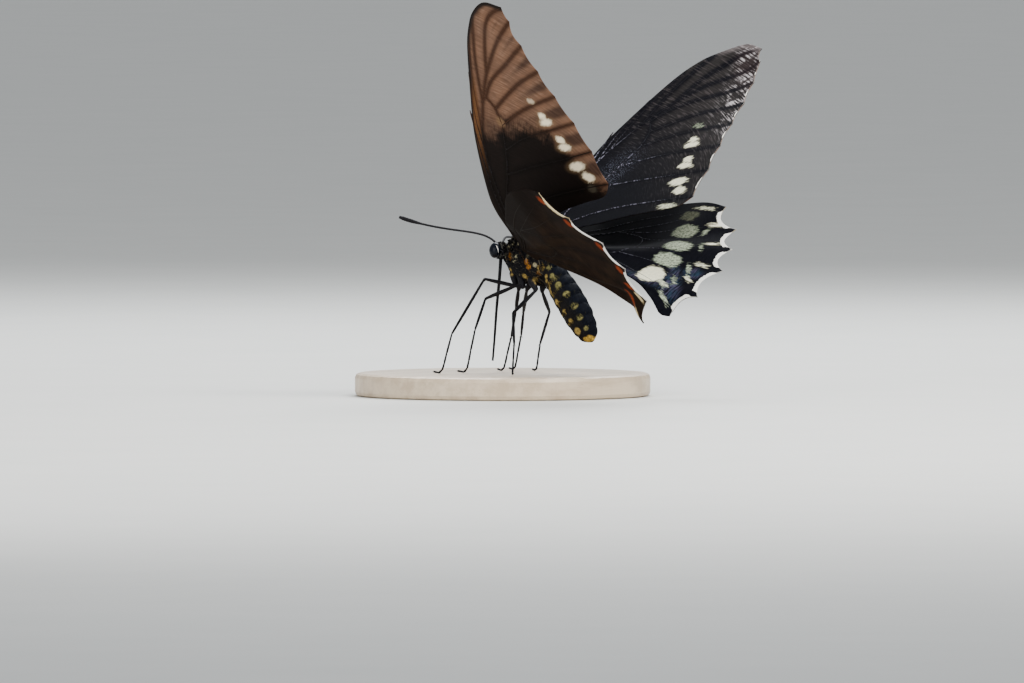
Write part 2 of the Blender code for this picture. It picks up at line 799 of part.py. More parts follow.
def main():
    clear_scene()
    model = collection("west_mexican_swallowtail")
    cutters = collection("cutters", hidden=True)
    body_finish = material("body", (0.015, 0.014, 0.016), 0.75)
    wing_finish = material("wing", (0.02, 0.018, 0.03), 0.6)
    limb_finish = material("limb", (0.012, 0.01, 0.01), 0.5)
    eye_finish = material("eye", (0.01, 0.012, 0.02), 0.15)
    base_finish = material("base", (0.72, 0.66, 0.56), 0.55)

    make_base(model, base_finish)
    thorax, abdomen = make_body(model, body_finish)
    head = make_head(model, cutters, body_finish)
    eyes = make_eyes(model, eye_finish)
    antennae = make_antennae(model, limb_finish)
    proboscis = make_proboscis(model, limb_finish)
    legs = make_legs(model, limb_finish)
    wings = make_wings(model, wing_finish)

    thorax_cutter = grown("thorax_cutter", thorax.data, GAP, cutters)
    eye_cutters = [grown(eye.name + "_cutter", eye.data, GAP, cutters) for eye in eyes]
    combine(head, eye_cutters + [thorax_cutter], "DIFFERENCE")
    head_cutter = grown("head_cutter", head.data, GAP, cutters)
    combine(abdomen, [thorax_cutter], "DIFFERENCE")
    combine(proboscis, [head_cutter], "DIFFERENCE")
    for antenna in antennae:
        combine(antenna, [head_cutter] + eye_cutters, "DIFFERENCE")
    for limb in legs + wings:
        combine(limb, [thorax_cutter], "DIFFERENCE")

    for made in [thorax, abdomen, head, proboscis] + eyes + antennae + legs + wings:
        made.data.transform(BODY)
        made.data.shade_smooth()
        made.data.set_sharp_from_angle(angle=math.radians(40))


main()
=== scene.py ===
"""West Mexican swallowtail: the visual model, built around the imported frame.

Places on the animal are in millimetres of its own axes: X to its left, Y to the tail, Z up. BODY turns them
into the frame's. Each wing has a flat plan in millimetres: a runs from the root outwards, b to the tail.
"""

import math

import bmesh
import bpy
import numpy as np
from bpy.props import FloatProperty, FloatVectorProperty, IntProperty, PointerProperty
from mathutils import Matrix, Vector


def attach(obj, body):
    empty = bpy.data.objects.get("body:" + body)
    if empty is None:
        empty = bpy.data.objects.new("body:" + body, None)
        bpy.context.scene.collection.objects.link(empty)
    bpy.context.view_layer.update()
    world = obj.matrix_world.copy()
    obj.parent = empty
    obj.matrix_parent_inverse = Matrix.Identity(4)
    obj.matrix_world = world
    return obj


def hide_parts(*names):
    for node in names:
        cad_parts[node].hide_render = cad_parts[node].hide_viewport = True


bl_info = {
    "name": "West Mexican Swallowtail",
    "version": (1, 0, 0),
    "blender": (4, 5, 0),
    "location": "View3D > Sidebar > Swallowtail",
    "description": "Builds a life-size museum model of a west Mexican swallowtail on its base",
    "category": "Add Mesh",
}

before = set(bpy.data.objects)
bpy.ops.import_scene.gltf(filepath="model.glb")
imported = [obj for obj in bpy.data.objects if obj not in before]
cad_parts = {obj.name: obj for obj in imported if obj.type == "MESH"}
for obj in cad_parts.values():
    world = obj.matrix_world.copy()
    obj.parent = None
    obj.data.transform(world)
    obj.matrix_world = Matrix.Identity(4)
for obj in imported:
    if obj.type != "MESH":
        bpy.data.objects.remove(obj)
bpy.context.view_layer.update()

MM = 0.001
SIDES = (("left", 1), ("right", -1))

# How the body stands over the base and the wings on the body: roots in millimetres, turns in degrees.
BODY = (
    Matrix.Translation(Vector((-4.0, 3.0, 28.3)) * MM)
    @ Matrix.Rotation(math.radians(-6.85), 4, "Y")
    @ Matrix.Rotation(math.radians(1.35), 4, "X")
)
FORE_ROOT = {"left": (3.8, 0, 0), "right": (3.8, 0, 0)}
FORE_RAISED = {"left": 50.6, "right": 50.4}
FORE_TWIST = 1.5
HIND_ROOT = {"left": (3.9, 2.35, -2.95), "right": (3.9, 2.8, -1.1)}
HIND_RAISED = {"left": 38.8, "right": 40.0}
HIND_TWIST = 17.6

# Steps along a wing's outline and its veins, how far its root runs on into the body, and the relief of the
# rows of scales.
OUTLINE_STEP = 0.6
VEIN_STEP = 0.8
ROOT_TONGUE = 2.0
ROW_DEPTH = 0.03 * MM

# Fore wing: leading edge, ends of the veins on the outer edge, inner edge, depths of the hollows between
# the veins' ends, then the veins.
FORE_LEADING = (
    (0, -1.3),
    (5, -2.6),
    (10, -2.3),
    (20, -0.3),
    (28, 2.6),
    (38, 6.9),
    (43, 10.0),
    (46.4, 13.3),
    (48.4, 17.0),
)
FORE_ENDS = {
    "R4": (47.5, 20.9),
    "R5": (44.8, 21.9),
    "M1": (40.2, 22.9),
    "M2": (34.8, 24.0),
    "M3": (29.3, 24.9),
    "CuA1": (23.4, 26.1),
    "CuA2": (17.4, 27.2),
    "2A": (10.6, 27.7),
}
FORE_INNER = ((8, 25.4), (6.6, 20.1), (5.3, 15.5), (3.9, 11.5), (1.4, 4), (0, 1.6))
FORE_SCALLOPS = {"left": (0.45,) * 7, "right": (0.45,) * 7}
FORE_VEINS = {
    "Sc": ((0, -0.9), (10, -0.9), (25, 0.9)),
    "R": ((0, -0.2), (9, 0.1), (18, 1.2), (27.1, 5.5)),
    "R1": ((15, 0.8), (24, 1.9), (33, 4.6)),
    "R2": ((21, 2.2), (31, 4.8), (40, 8.1)),
    "R3": ((27.1, 5.5), (36, 8.1), (45, 12.0)),
    "R4": ((33, 9.6), (40, 12.9), (45.4, 16.8)),
    "R5": ((27.1, 5.5), (33, 9.6), (38.6, 14.7)),
    "M1": ((28.2, 6.9), (31.8, 10.2), (35.7, 16.2)),
    "M2": ((26, 8.3), (29.2, 13.1), (32.2, 18.2)),
    "M3": ((22.6, 8.3), (25.3, 13.6), (27.4, 19)),
    "CuA1": ((17.5, 6.5), (20.1, 12.6), (21.9, 20)),
    "CuA2": ((12.3, 4.3), (14.3, 12.6), (16, 21)),
    "Cu": ((0, 0.4), (6.6, 1.4), (12.3, 4.3), (17.5, 6.5), (22.6, 8.3)),
    "2A": ((0, 0.9), (3.4, 2.8), (7.1, 10.5), (9.3, 20)),
    "cell_end": ((27.1, 5.5), (28.2, 6.9), (26, 8.3), (22.6, 8.3)),
}

# Hind wing, the same way. The hollow by the body is shallower on the left.
HIND_LEADING = ((0, -1.0), (6.8, 1.6), (12.7, 6.2), (18.0, 11.2), (20.7, 16.5))
HIND_ENDS = {
    "Rs": (20.9, 22.2),
    "M1": (16.2, 27.5),
    "M2": (9.8, 31.1),
    "M3": (3.9, 33.0),
    "CuA1": (-4.1, 32.9),
    "CuA2": (-8.9, 29.9),
}
HIND_INNER = ((-9.6, 28.4), (-9.0, 27.2), (-7.6, 25.1), (-5.0, 21), (-2.8, 15), (-1.5, 9), (-0.9, 4.2))
HIND_SCALLOPS = {"left": (1.85, 1.85, 1.85, 1.85, 0.5), "right": (1.85, 1.85, 1.85, 1.85, 1.5)}
HIND_VEINS = {
    "Sc+R1": ((0, -0.2), (6.6, 3.8), (12.8, 9.4), (18.8, 17.0)),
    "Rs": ((0, 0.4), (6, 5.0), (10.9, 10.7), (16.9, 18)),
    "M1": ((8.2, 7.5), (10.6, 13.4), (14.2, 21)),
    "M2": ((8.4, 12.4), (9.4, 20.5)),
    "M3": ((4.8, 13.2), (5.5, 21)),
    "CuA1": ((2.2, 11.6), (1.4, 21)),
    "CuA2": ((0.8, 8.4), (-1.4, 17), (-4.2, 24)),
    "Cu": ((0, 1.1), (0.8, 8.4), (2.2, 11.6), (4.8, 13.2)),
    "cell_end": ((4.8, 13.2), (8.4, 12.4), (8.2, 7.5)),
}

# Spots: middle (a, b), half length, half width, turn of the length from b towards a in degrees, brightness.
FORE_SPOTS = (
    (28.3, 17.9, 0.9, 0.6, 0, 0.3),
    (23.5, 19.5, 1.45, 0.7, 12, 1.0),
    (24.9, 19.2, 0.75, 0.65, 0, 1.0),
    (18.2, 21.2, 1.4, 0.75, 8, 1.0),
    (19.8, 20.9, 0.9, 0.8, 0, 1.0),
    (14.2, 22.1, 1.85, 0.9, 12, 1.0),
    (12.0, 23.7, 1.35, 0.9, -5, 0.95),
    (8.1, 23.2, 1.7, 0.6, 5, 0.8),
)
FORE_UNDER_SPOTS = (
    (28.0, 18.2, 0.8, 0.55, 0, 0.45),
    *FORE_SPOTS[1:-1],
    (9.6, 23.4, 1.1, 0.8, 5, 0.2),
)
HIND_UPPER_SPOTS = (
    (16.6, 17.3, 1.6, 1.3, 0, 0.1),
    (12.2, 19.2, 2.25, 1.9, 0, 0.3),
    (7.4, 21.0, 2.6, 1.5, 4, 0.5),
    (3.1, 21.7, 2.7, 1.65, -10, 0.55),
    (-1.7, 21.3, 2.45, 2.2, -22, 1.0),
    (-3.2, 24.6, 1.7, 0.55, -35, 0.75),
    (19.3, 18.9, 1.4, 0.42, 5, 0.8),
    (15.8, 23.6, 1.3, 0.5, 20, 0.95),
    (13.3, 22.8, 0.35, 0.9, 0, 0.4),
    (10.1, 26.8, 1.2, 0.42, 15, 0.95),
    (8.2, 25.4, 0.3, 0.9, 25, 0.35),
    (3.9, 28.6, 1.1, 0.4, 0, 0.85),
    (1.9, 27.0, 0.35, 1.2, 30, 0.6),
    (-0.5, 28.4, 0.8, 0.4, -20, 0.85),
    (-1.8, 26.3, 1.0, 0.3, -50, 0.6),
    (-6.4, 27.0, 1.1, 0.35, -30, 0.65),
)
# The tail's marks below, the dab of brown at the end of the fore wing's cell below, and the purple scales
# above with their sheen painted in.
TAIL_RED_SPOTS = ((-1.3, 30.0, 1.2, 0.7, -40, 1.0), (-4.6, 28.0, 1.9, 0.7, -80, 1.0))
TAIL_PALE_SPOTS = ((-3.6, 31.0, 1.1, 0.5, -60, 0.9), (-6.9, 28.9, 1.1, 0.45, -80, 0.9))
UNDER_PATCH = ((23.3, 8.2, 0.9, 1.0, 20, 1.0),)
VIOLET_SHEEN_MARKS = ((-3.4, 26.4, 3.0, 1.6, -50, 1), (0.9, 24.6, 2.6, 0.5, -48, 1), (1.2, 28.2, 1.6, 1.1, 0, 1))
VIOLET_SHEEN_LINE = ((-3.6, 21.0, 5.5, 0.7, -14, 1),)

# How far out the fore wing's dark inner part reaches below, at places along the body.
BASAL_BACK = (-2, 5.1, 9.2, 14.2, 19, 22, 26)
BASAL_OUT = (19.5, 20.7, 22.1, 22.6, 20.0, 16.0, 9.0)


def edge_marks(along, inward, length, width):
    """A mark in each cell of the hind wing's edge but the last: its share of the cell, depth and sizes."""
    ends = [Vector(p) for p in HIND_ENDS.values()]
    marks = []
    for front, back in zip(ends[:-2], ends[1:-1]):
        side = (back - front).normalized()
        depth = Vector((side.y, -side.x))
        if depth.dot(front) > 0:
            depth = -depth
        middle = front.lerp(back, along) + depth * inward
        turn = math.degrees(math.atan2(side.x, side.y))
        marks.append((middle.x, middle.y, length, width, turn, 1.0))
    return marks


HIND_RED_SPOTS = (*edge_marks(0.1, 2.4, 1.05, 0.8), *TAIL_RED_SPOTS)
HIND_PALE_SPOTS = (*edge_marks(0.45, 2.15, 1.5, 0.4)[:1], *TAIL_PALE_SPOTS)

# The body: where the head ends, and lines through the abdomen and through the whole body.
HEAD_BACK = -5.5
ABDOMEN_LINE = ((0, 4.6, -5.4), (0, 10.9, -12.3), (0, 16.4, -19.1))
ABDOMEN_SEGMENTS = 8
BODY_LINE = (
    (0, -8.6, -2.4),
    (0, -5.2, -2.9),
    (0, 0, -4.4),
    (0, 5.2, -6.4),
    (0, 10.9, -12.3),
    (0, 16.6, -19.4),
)

# The left eye, and the directions from its middle to the white crescent behind it.
EYE_MIDDLE = (1.28, -7.05, -2.9)
EYE_RADII = (0.92, 1.12, 1.38)
CRESCENT_RADIUS = 0.065
EYE_CRESCENT = ((0.56, 0.52, 0.62), (0.5, 0.74, 0.36), (0.36, 0.9, 0.0), (0.22, 0.88, -0.38))

# The forms grow by the overlap to become one skin, and shrink back after. A tuft's patch in the coat's
# UV map is twice the last number wide.
SKIN_OVERLAP = 0.25 * MM
FOLD_DEPTH = 0.16 * MM
TUFT_ROOT_DEPTH = 0.04 * MM
TUFT_PATCH = 0.0015

# Colours of the body, and its spots: middle, radius and colour. Each is on both sides, with a soft edge.
SPOT_EDGE = 0.12
BACK_BLUE = (0.0018, 0.003, 0.007)
SIDE_GREY = (0.010, 0.0085, 0.0085)
EYE_RIM = (0.6, 0.58, 0.52)
FROST = (0.12, 0.105, 0.075)
ORANGE = (0.36, 0.15, 0.02)
YELLOW = (0.36, 0.25, 0.07)
GOLD = (0.42, 0.26, 0.045)
CREAM = (0.42, 0.38, 0.24)
OLIVE = (0.185, 0.165, 0.06)
BODY_SPOTS = (
    ((2.9, -2.65, -3.2), 0.34, ORANGE),
    ((3.0, -2.35, -3.8), 0.4, ORANGE),
    ((3.1, -2.0, -4.4), 0.3, ORANGE),
    ((3.4, -0.6, -4.1), 0.27, CREAM),
    ((3.2, -1.0, -5.0), 0.2, CREAM),
    ((2.3, -3.4, -2.3), 0.26, CREAM),
    ((2.5, -2.6, -2.1), 0.2, CREAM),
    ((2.7, -2.0, -1.9), 0.24, CREAM),
    ((3.0, -0.8, -1.9), 0.22, CREAM),
    ((2.3, -4.0, -3.7), 0.2, CREAM),
    ((2.6, -2.1, -6.5), 0.34, YELLOW),
    ((2.2, -2.1, -7.2), 0.3, YELLOW),
    ((3.3, 2.0, -4.0), 0.22, CREAM),
    ((3.2, 2.8, -4.0), 0.2, CREAM),
    ((3.2, 2.1, -5.2), 0.42, ORANGE),
    ((3.2, 2.5, -6.0), 0.45, ORANGE),
    ((2.9, 3.8, -5.6), 0.38, CREAM),
    ((1.9, 4.3, -7.0), 0.45, ORANGE),
    ((1.9, 4.7, -6.1), 0.6, YELLOW),
    ((2.0, 6.1, -5.9), 0.4, OLIVE),
    ((2.6, 1.4, -7.6), 0.45, YELLOW),
    ((2.7, 1.8, -8.1), 0.3, YELLOW),
    ((1.6, 3.4, -8.1), 0.42, YELLOW),
    ((1.6, 3.8, -8.6), 0.36, YELLOW),
    ((2.2, 6.1, -7.6), 0.4, YELLOW),
    ((2.2, 6.2, -8.4), 0.38, YELLOW),
    ((2.3, 7.5, -7.5), 0.48, OLIVE),
    ((2.5, 9.2, -9.1), 0.6, OLIVE),
    ((2.3, 11.3, -10.8), 0.66, OLIVE),
    ((2.2, 13.2, -12.8), 0.64, OLIVE),
    ((2.1, 14.5, -14.8), 0.58, OLIVE),
    ((1.7, 15.8, -16.7), 0.42, OLIVE),
    ((2.2, 7.1, -9.8), 0.42, YELLOW),
    ((2.3, 7.4, -10.4), 0.36, YELLOW),
    ((2.4, 9.1, -12.2), 0.55, YELLOW),
    ((2.5, 11.2, -14.0), 0.55, YELLOW),
    ((2.4, 12.7, -15.6), 0.52, YELLOW),
    ((2.0, 14.1, -17.3), 0.68, YELLOW),
    ((1.8, 10.1, -14.6), 0.3, YELLOW),
    ((2.0, 12.0, -16.2), 0.3, YELLOW),
    ((1.0, 15.6, -18.8), 0.6, GOLD),
    ((0.9, 16.3, -18.4), 0.55, GOLD),
)

# The feelers. Each antenna turns out from straight ahead by its spread in degrees, the right one more.
ANTENNA_ROOT = (0.7, -7.2, -1.75)
ANTENNA_SPREAD = {"left": 45, "right": 57}
ANTENNA_REACH = 17.5
ANTENNA_RINGS = 42
SOCKET_RADIUS = 0.3
PROBOSCIS_POINTS = ((0, -6.7, -3.9), (0, -6.75, -8), (0, -6.95, -13), (0, -7.0, -18), (0, -7.1, -22.3))

# Each leg: hip, second joint, knee, ankle and toe. The toe's height is worked out from the foot level,
# which is in millimetres over the floor. The foot joints are shares of the way from ankle to toe.
LEGS = {
    "leg_left_front": (
        (1.3, -2.6, -6.8),
        (1.6, -1.2, -9.2),
        (4.0, -6.1, -11.7),
        (5.5, -6.7, -17.2),
        (7.0, -8.9),
    ),
    "leg_left_middle": (
        (1.9, -0.2, -7.4),
        (1.9, 0.9, -9.6),
        (8.0, -3.0, -8.6),
        (11.6, -6.6, -18.6),
        (12.4, -9.6),
    ),
    "leg_left_hind": (
        (1.9, 2.2, -8.0),
        (1.9, 3.9, -10.0),
        (6.5, 2.9, -14.5),
        (8.0, 5.0, -20.0),
        (9.6, 6.6),
    ),
    "leg_right_front": (
        (-1.3, -2.6, -6.8),
        (-1.3, -3.2, -9.5),
        (-3.5, -5.5, -12.6),
        (-3.6, -6.3, -17.6),
        (-4.0, -9.4),
    ),
    "leg_right_middle": (
        (-1.9, -0.2, -7.4),
        (-1.9, -1.8, -9.5),
        (-7.0, -6.9, -13.0),
        (-9.0, -8.9, -16.9),
        (-9.4, -11.6),
    ),
    "leg_right_hind": (
        (-1.9, 2.2, -8.0),
        (-1.9, 1.8, -9.8),
        (-6.0, 0.2, -13.1),
        (-6.4, -1.9, -18.6),
        (-7.4, -4.2),
    ),
}
FOOT_LEVEL = 4.3
TOE_LENGTH = 1.5
FOOT_JOINTS = (0, 0.42, 0.6, 0.75, 0.88, 1.0)

# What the camera aims at, from the body's middle in the picture's own directions.
AIM_RIGHT = -3.27 * MM
AIM_UP = -18.81 * MM

# Each light: name, place towards the camera, to its right and up, size, power and colour.
LIGHTS = (
    ("key", 0.30, 0.28, 0.45, 0.30, 5.5, (1.0, 0.98, 0.94)),
    ("fill", 0.45, -0.35, 0.15, 0.45, 2.0, (1, 1, 1)),
    ("back", -0.35, 0.05, 0.40, 0.35, 4.0, (0.95, 0.98, 1.0)),
)


class WingSettings(bpy.types.PropertyGroup):
    """Sizes and colours of the four wings."""

    thickness: FloatProperty(
        name="Thickness", description="Thickness of a wing", default=0.14 * MM, unit="LENGTH"
    )
    mesh_step: FloatProperty(
        name="Mesh step", description="Size of the wing's faces", default=0.5 * MM, unit="LENGTH"
    )
    vein_radius: FloatProperty(
        name="Vein radius", description="Radius of a vein at the root", default=0.19 * MM, unit="LENGTH"
    )
    ground: FloatVectorProperty(
        name="Ground",
        description="Blue-black of the upper side",
        default=(0.0028, 0.003, 0.0055),
        subtype="COLOR",
    )
    outer: FloatVectorProperty(
        name="Outer",
        description="Brown-grey of the fore wing's tip",
        default=(0.021, 0.0185, 0.0185),
        subtype="COLOR",
    )
    spot: FloatVectorProperty(
        name="Spots",
        description="Cream of the spots",
        default=(0.80, 0.78, 0.58),
        subtype="COLOR",
    )
    brown: FloatVectorProperty(
        name="Brown",
        description="Brown of the fore wing's under side",
        default=(0.185, 0.096, 0.058),
        subtype="COLOR",
    )
    red: FloatVectorProperty(
        name="Red",
        description="Red of the hind wing's under side",
        default=(0.23, 0.036, 0.009),
        subtype="COLOR",
    )


class BodySettings(bpy.types.PropertyGroup):
    """Sizes of the skin and its coat, and the colours of the body and the base."""

    skin_step: FloatProperty(
        name="Skin step", description="Size of the skin's faces", default=0.14 * MM, unit="LENGTH"
    )
    coat_depth: FloatProperty(
        name="Coat depth",
        description="How far the skin lies inside the solids",
        default=0.22 * MM,
        unit="LENGTH",
    )
    thorax_hairs: IntProperty(name="Thorax tufts", description="Tufts on the thorax", default=15000)
    head_hairs: IntProperty(name="Head tufts", description="Tufts on the head", default=5000)
    abdomen_hairs: IntProperty(name="Abdomen tufts", description="Tufts on the abdomen", default=16000)
    black: FloatVectorProperty(
        name="Black",
        description="Black of the body",
        default=(0.008, 0.0075, 0.009),
        subtype="COLOR",
    )
    wood: FloatVectorProperty(
        name="Wood",
        description="Pale wood of the base",
        default=(0.62, 0.50, 0.36),
        subtype="COLOR",
    )


class StageSettings(bpy.types.PropertyGroup):
    """The camera."""

    azimuth: FloatProperty(
        name="Azimuth",
        description="The camera's turn round the model",
        default=math.radians(132.3),
        subtype="ANGLE",
    )
    elevation: FloatProperty(
        name="Elevation",
        description="The camera's height over the horizon",
        default=math.radians(2.0),
        subtype="ANGLE",
    )
    lens: FloatProperty(name="Lens", description="Focal length in millimetres", default=800.0)
    distance: FloatProperty(name="Distance", description="Camera distance", default=4.0, unit="LENGTH")


def ease(low, high, x):
    """0 at low and 1 at high, eased between them. low may be the larger."""
    k = np.clip((np.asarray(x, float) - low) / (high - low), 0, 1)
    return k * k * (3 - 2 * k)


def smooth_curve(points, step):
    """Points about a step apart on a smooth curve through the given ones, ends included."""
    points = [Vector(p) for p in points]
    line = [points[0]]
    for i in range(len(points) - 1):
        start, end = points[i], points[i + 1]
        before = points[i - 1] if i else 2 * start - end
        after = points[i + 2] if i + 2 < len(points) else 2 * end - start
        count = max(1, round((end - start).length / step))
        for k in range(1, count + 1):
            t = k / count
            cubic = 3 * start - before - 3 * end + after
            square = 2 * before - 5 * start + 4 * end - after
            line.append(0.5 * (2 * start + (end - before) * t + square * t**2 + cubic * t**3))
    return line


def scalloped_edge(ends, depths, step):
    """The outer edge from one vein's end to the next, hollowed towards the root between them."""
    ends = [Vector(p) for p in ends]
    line = []
    for start, end, depth in zip(ends, ends[1:], depths):
        along = end - start
        inward = Vector((along.y, -along.x)).normalized()
        if inward.dot(-(start + end)) < 0:
            inward = -inward
        count = max(8, round(along.length / step))
        for k in range(count):
            t = k / count
            line.append(start + along * t + inward * depth * math.sin(math.pi * t) ** 0.8)
    return line + [ends[-1]]


def wing_outline(leading, ends, inner, scallops):
    """The front, outer and back edges of a wing's plan."""
    front = smooth_curve(list(leading) + [next(iter(ends.values()))], OUTLINE_STEP)
    outer = scalloped_edge(list(ends.values()), scallops, OUTLINE_STEP * 0.5)
    back = smooth_curve([outer[-1]] + list(inner), OUTLINE_STEP)
    return front, outer, back


def fore_camber(a, b):
    """Rise of the fore wing towards its upper side, in millimetres."""
    leading = -2.4 + 0.0045 * np.maximum(0, a - 4) ** 2 + 0.05 * np.maximum(0, a - 12)
    across = np.clip((b - leading) / 15, 0, 1)
    droop = 1.1 * ease(20, 38, a) * ease(47, 42, a) * ease(10, 1, 29.8 - 0.2 * a - b)
    return (2.1 * ease(0, 43, a) - 1.2 * ease(43, 49, a)) * (1 - across) ** 2 - droop


def hind_camber(a, b):
    """Rise of the hind wing towards its upper side, in millimetres."""
    angle = np.degrees(np.arctan2(a, np.maximum(b, 1)))
    reach = np.hypot(a, b)
    lift = 1.25 * ease(30, 16, angle) * ease(-15, -7, angle)
    fold = 1.6 * ease(-5, -13, angle) * ease(30, 25, b)
    drop = 0.45 * ease(-5, -16, angle) * ease(25, 30, b)
    under_fore_wing = 1.1 * ease(12, 28, angle) * ease(3, 10, reach) * ease(21, 13, b)
    return ease(6, 32, reach) * (lift + fold - drop) - under_fore_wing


def wing_axes(side, root, raised, twist):
    """The matrix from a wing's plan in millimetres to the frame. The right wing is mirrored."""
    raised, twist = math.radians(raised), math.radians(twist)
    out = Vector((math.cos(raised), 0, math.sin(raised)))
    up = Vector((-math.sin(raised), 0, math.cos(raised)))
    back = Vector((0, math.cos(twist), 0)) - up * math.sin(twist)
    turn = Matrix((out, back, out.cross(back))).transposed().to_4x4()
    place = Matrix.Translation(Vector(root) * MM) @ turn @ Matrix.Scale(MM, 4)
    if side == "right":
        place = Matrix.Scale(-1, 4, (1, 0, 0)) @ place
    return BODY @ place


def line_distance(points, lines):
    """Distance from each point of the plan to the nearest of the lines."""
    nearest = np.full(len(points), np.inf)
    for line in lines:
        for start, end in zip(line, line[1:]):
            start = np.array(start)
            along = np.array(end) - start
            share = np.clip((points - start) @ along / (along @ along), 0, 1)
            nearest = np.minimum(nearest, np.linalg.norm(points - start - share[:, None] * along, axis=1))
    return nearest


def spot_field(points, spots, corners=2.0):
    """Distance to the nearest spot's edge, negative inside, and its brightness. More corners is squarer."""
    nearest = np.full(len(points), 50.0)
    bright = np.zeros(len(points))
    for a, b, length, width, turn, tone in spots:
        turn = math.radians(turn)
        along = np.array((math.sin(turn), math.cos(turn)))
        across = np.array((math.cos(turn), -math.sin(turn)))
        offset = points - (a, b)
        apart = np.abs(offset @ along / length) ** corners + np.abs(offset @ across / width) ** corners
        gap = (apart ** (1 / corners) - 1) * min(length, width)
        bright = np.where(gap < nearest, tone, bright)
        nearest = np.minimum(nearest, gap)
    return nearest, bright


def add_object(name, data):
    """A new object with the mesh, light or camera."""
    made = bpy.data.objects.new(name, data)
    bpy.context.scene.collection.objects.link(made)
    return made


def add_piece(name, bm, materials, replaces=()):
    """Makes the mesh an object that rides on the model's one body."""
    mesh = bpy.data.meshes.new(name)
    bm.to_mesh(mesh)
    bm.free()
    for finish in materials:
        mesh.materials.append(finish)
    mesh.shade_smooth()
    piece = add_object(name, mesh)
    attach(piece, "root")
    if replaces:
        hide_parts(*replaces)
    return piece


def set_field(mesh, name, values):
    """Stores one number or one vector for each vertex."""
    values = np.asarray(values, np.float32)
    kind, key = ("FLOAT", "value") if values.ndim == 1 else ("FLOAT_VECTOR", "vector")
    mesh.attributes.new(name, kind, "POINT").data.foreach_set(key, values.ravel())


def set_paint(mesh, colours):
    """Stores a colour for each vertex."""
    colours = np.hstack((colours, np.ones((len(colours), 1)))).astype(np.float32)
    mesh.attributes.new("paint", "FLOAT_COLOR", "POINT").data.foreach_set("color", colours.ravel())


def add_rod(bm, points, radii, sides):
    """A round rod through the points, closed at both ends."""
    ring = bmesh.ops.create_circle(bm, radius=1, segments=sides)["verts"]
    shape = [vert.co.copy() for vert in ring]
    edges = list({edge for vert in ring for edge in vert.link_edges})
    first = edges
    turn = None
    for i, (point, radius) in enumerate(zip(points, radii)):
        ahead = points[min(i + 1, len(points) - 1)] - points[max(i - 1, 0)]
        if turn is None:
            turn = Vector((0, 0, 1)).rotation_difference(ahead)
        else:
            turn = (turn @ Vector((0, 0, 1))).rotation_difference(ahead) @ turn
            made = bmesh.ops.extrude_edge_only(bm, edges=edges)["geom"]
            edges = [item for item in made if isinstance(item, bmesh.types.BMEdge)]
            ring = [item for item in made if isinstance(item, bmesh.types.BMVert)]
        for vert, corner in zip(ring, shape):
            vert.co = point + turn @ (corner * radius)
    bmesh.ops.holes_fill(bm, edges=first + edges, sides=sides)


class Look:
    """A material's nodes. Values may be numbers, colours or the outputs of other nodes."""

    def __init__(self, name, **fixed):
        """The fixed values set the surface's inputs, with _ for a space in an input's name."""
        self.material = bpy.data.materials.new(name)
        self.material.use_nodes = True
        self.tree = self.material.node_tree
        self.surface = self.tree.nodes["Principled BSDF"]
        for socket, value in fixed.items():
            self.surface.inputs[socket.replace("_", " ")].default_value = value

    def node(self, kind, inputs, **settings):
        """A new node, whose inputs go by name or number."""
        made = self.tree.nodes.new("ShaderNode" + kind)
        for key, value in settings.items():
            setattr(made, key, value)
        for key, value in inputs.items():
            self.put(made.inputs[key], value)
        return made

    def put(self, socket, value):
        """Sets an input to the value, or links it to another node's output."""
        if isinstance(value, bpy.types.NodeSocket):
            self.tree.links.new(value, socket)
        elif socket.type == "RGBA" and len(value) == 3:
            socket.default_value = (*value, 1)
        else:
            socket.default_value = value

    def math(self, operation, first, second=0.0):
        """One sum, product or function of the two values."""
        return self.node("Math", {0: first, 1: second}, operation=operation).outputs[0]

    def step(self, value, low, high):
        """0 below low and 1 above high, eased between them. low may be the larger."""
        inputs = {"Value": value, "From Min": low, "From Max": high}
        return self.node("MapRange", inputs, interpolation_type="SMOOTHSTEP").outputs["Result"]

    def times(self, *values):
        """The product of the values."""
        result = values[0]
        for value in values[1:]:
            result = self.math("MULTIPLY", result, value)
        return result

    def mix(self, share, first, second):
        """The first colour where the share is 0, and the second where it is 1."""
        made = self.node("Mix", {0: share}, data_type="RGBA")
        self.put(made.inputs[6], first)
        self.put(made.inputs[7], second)
        return made.outputs[2]

    def over(self, ground, colour, *shares):
        """The colour laid over the ground by the product of the shares."""
        return self.mix(self.times(*shares), ground, colour)

    def shaded(self, colour, depth, light):
        """The colour, darkened by the depth where light is 0."""
        return self.mix(light, self.mix(depth, colour, (0, 0, 0)), colour)

    def field(self, name, output="Fac"):
        """The value that the mesh stores for each vertex under this name."""
        return self.node("Attribute", {}, attribute_name=name).outputs[output]

    def noise(self, place, scale, detail=2.0, roughness=0.5):
        """Soft noise around 0.5. A larger scale is finer."""
        inputs = {"Vector": place, "Scale": scale, "Detail": detail, "Roughness": roughness}
        return self.node("TexNoise", inputs).outputs["Fac"]

    def stretched(self, place, factors):
        """The place, with each axis times its own factor."""
        return self.node("VectorMath", {0: place, 1: factors}, operation="MULTIPLY").outputs["Vector"]

    def place(self):
        """Where the point is on the object, in metres."""
        return self.node("TexCoord", {}).outputs["Object"]

    def bump(self, height, depth, strength=1.0):
        """The surface's direction, with the height as relief of the depth in metres."""
        inputs = {"Height": height, "Distance": depth, "Strength": strength}
        return self.node("Bump", inputs).outputs["Normal"]

    def finish(self, colour, roughness, normal=None):
        """The material, with its surface's last values set."""
        self.put(self.surface.inputs["Base Color"], colour)
        self.put(self.surface.inputs["Roughness"], roughness)
        if normal is not None:
            self.put(self.surface.inputs["Normal"], normal)
        return self.material


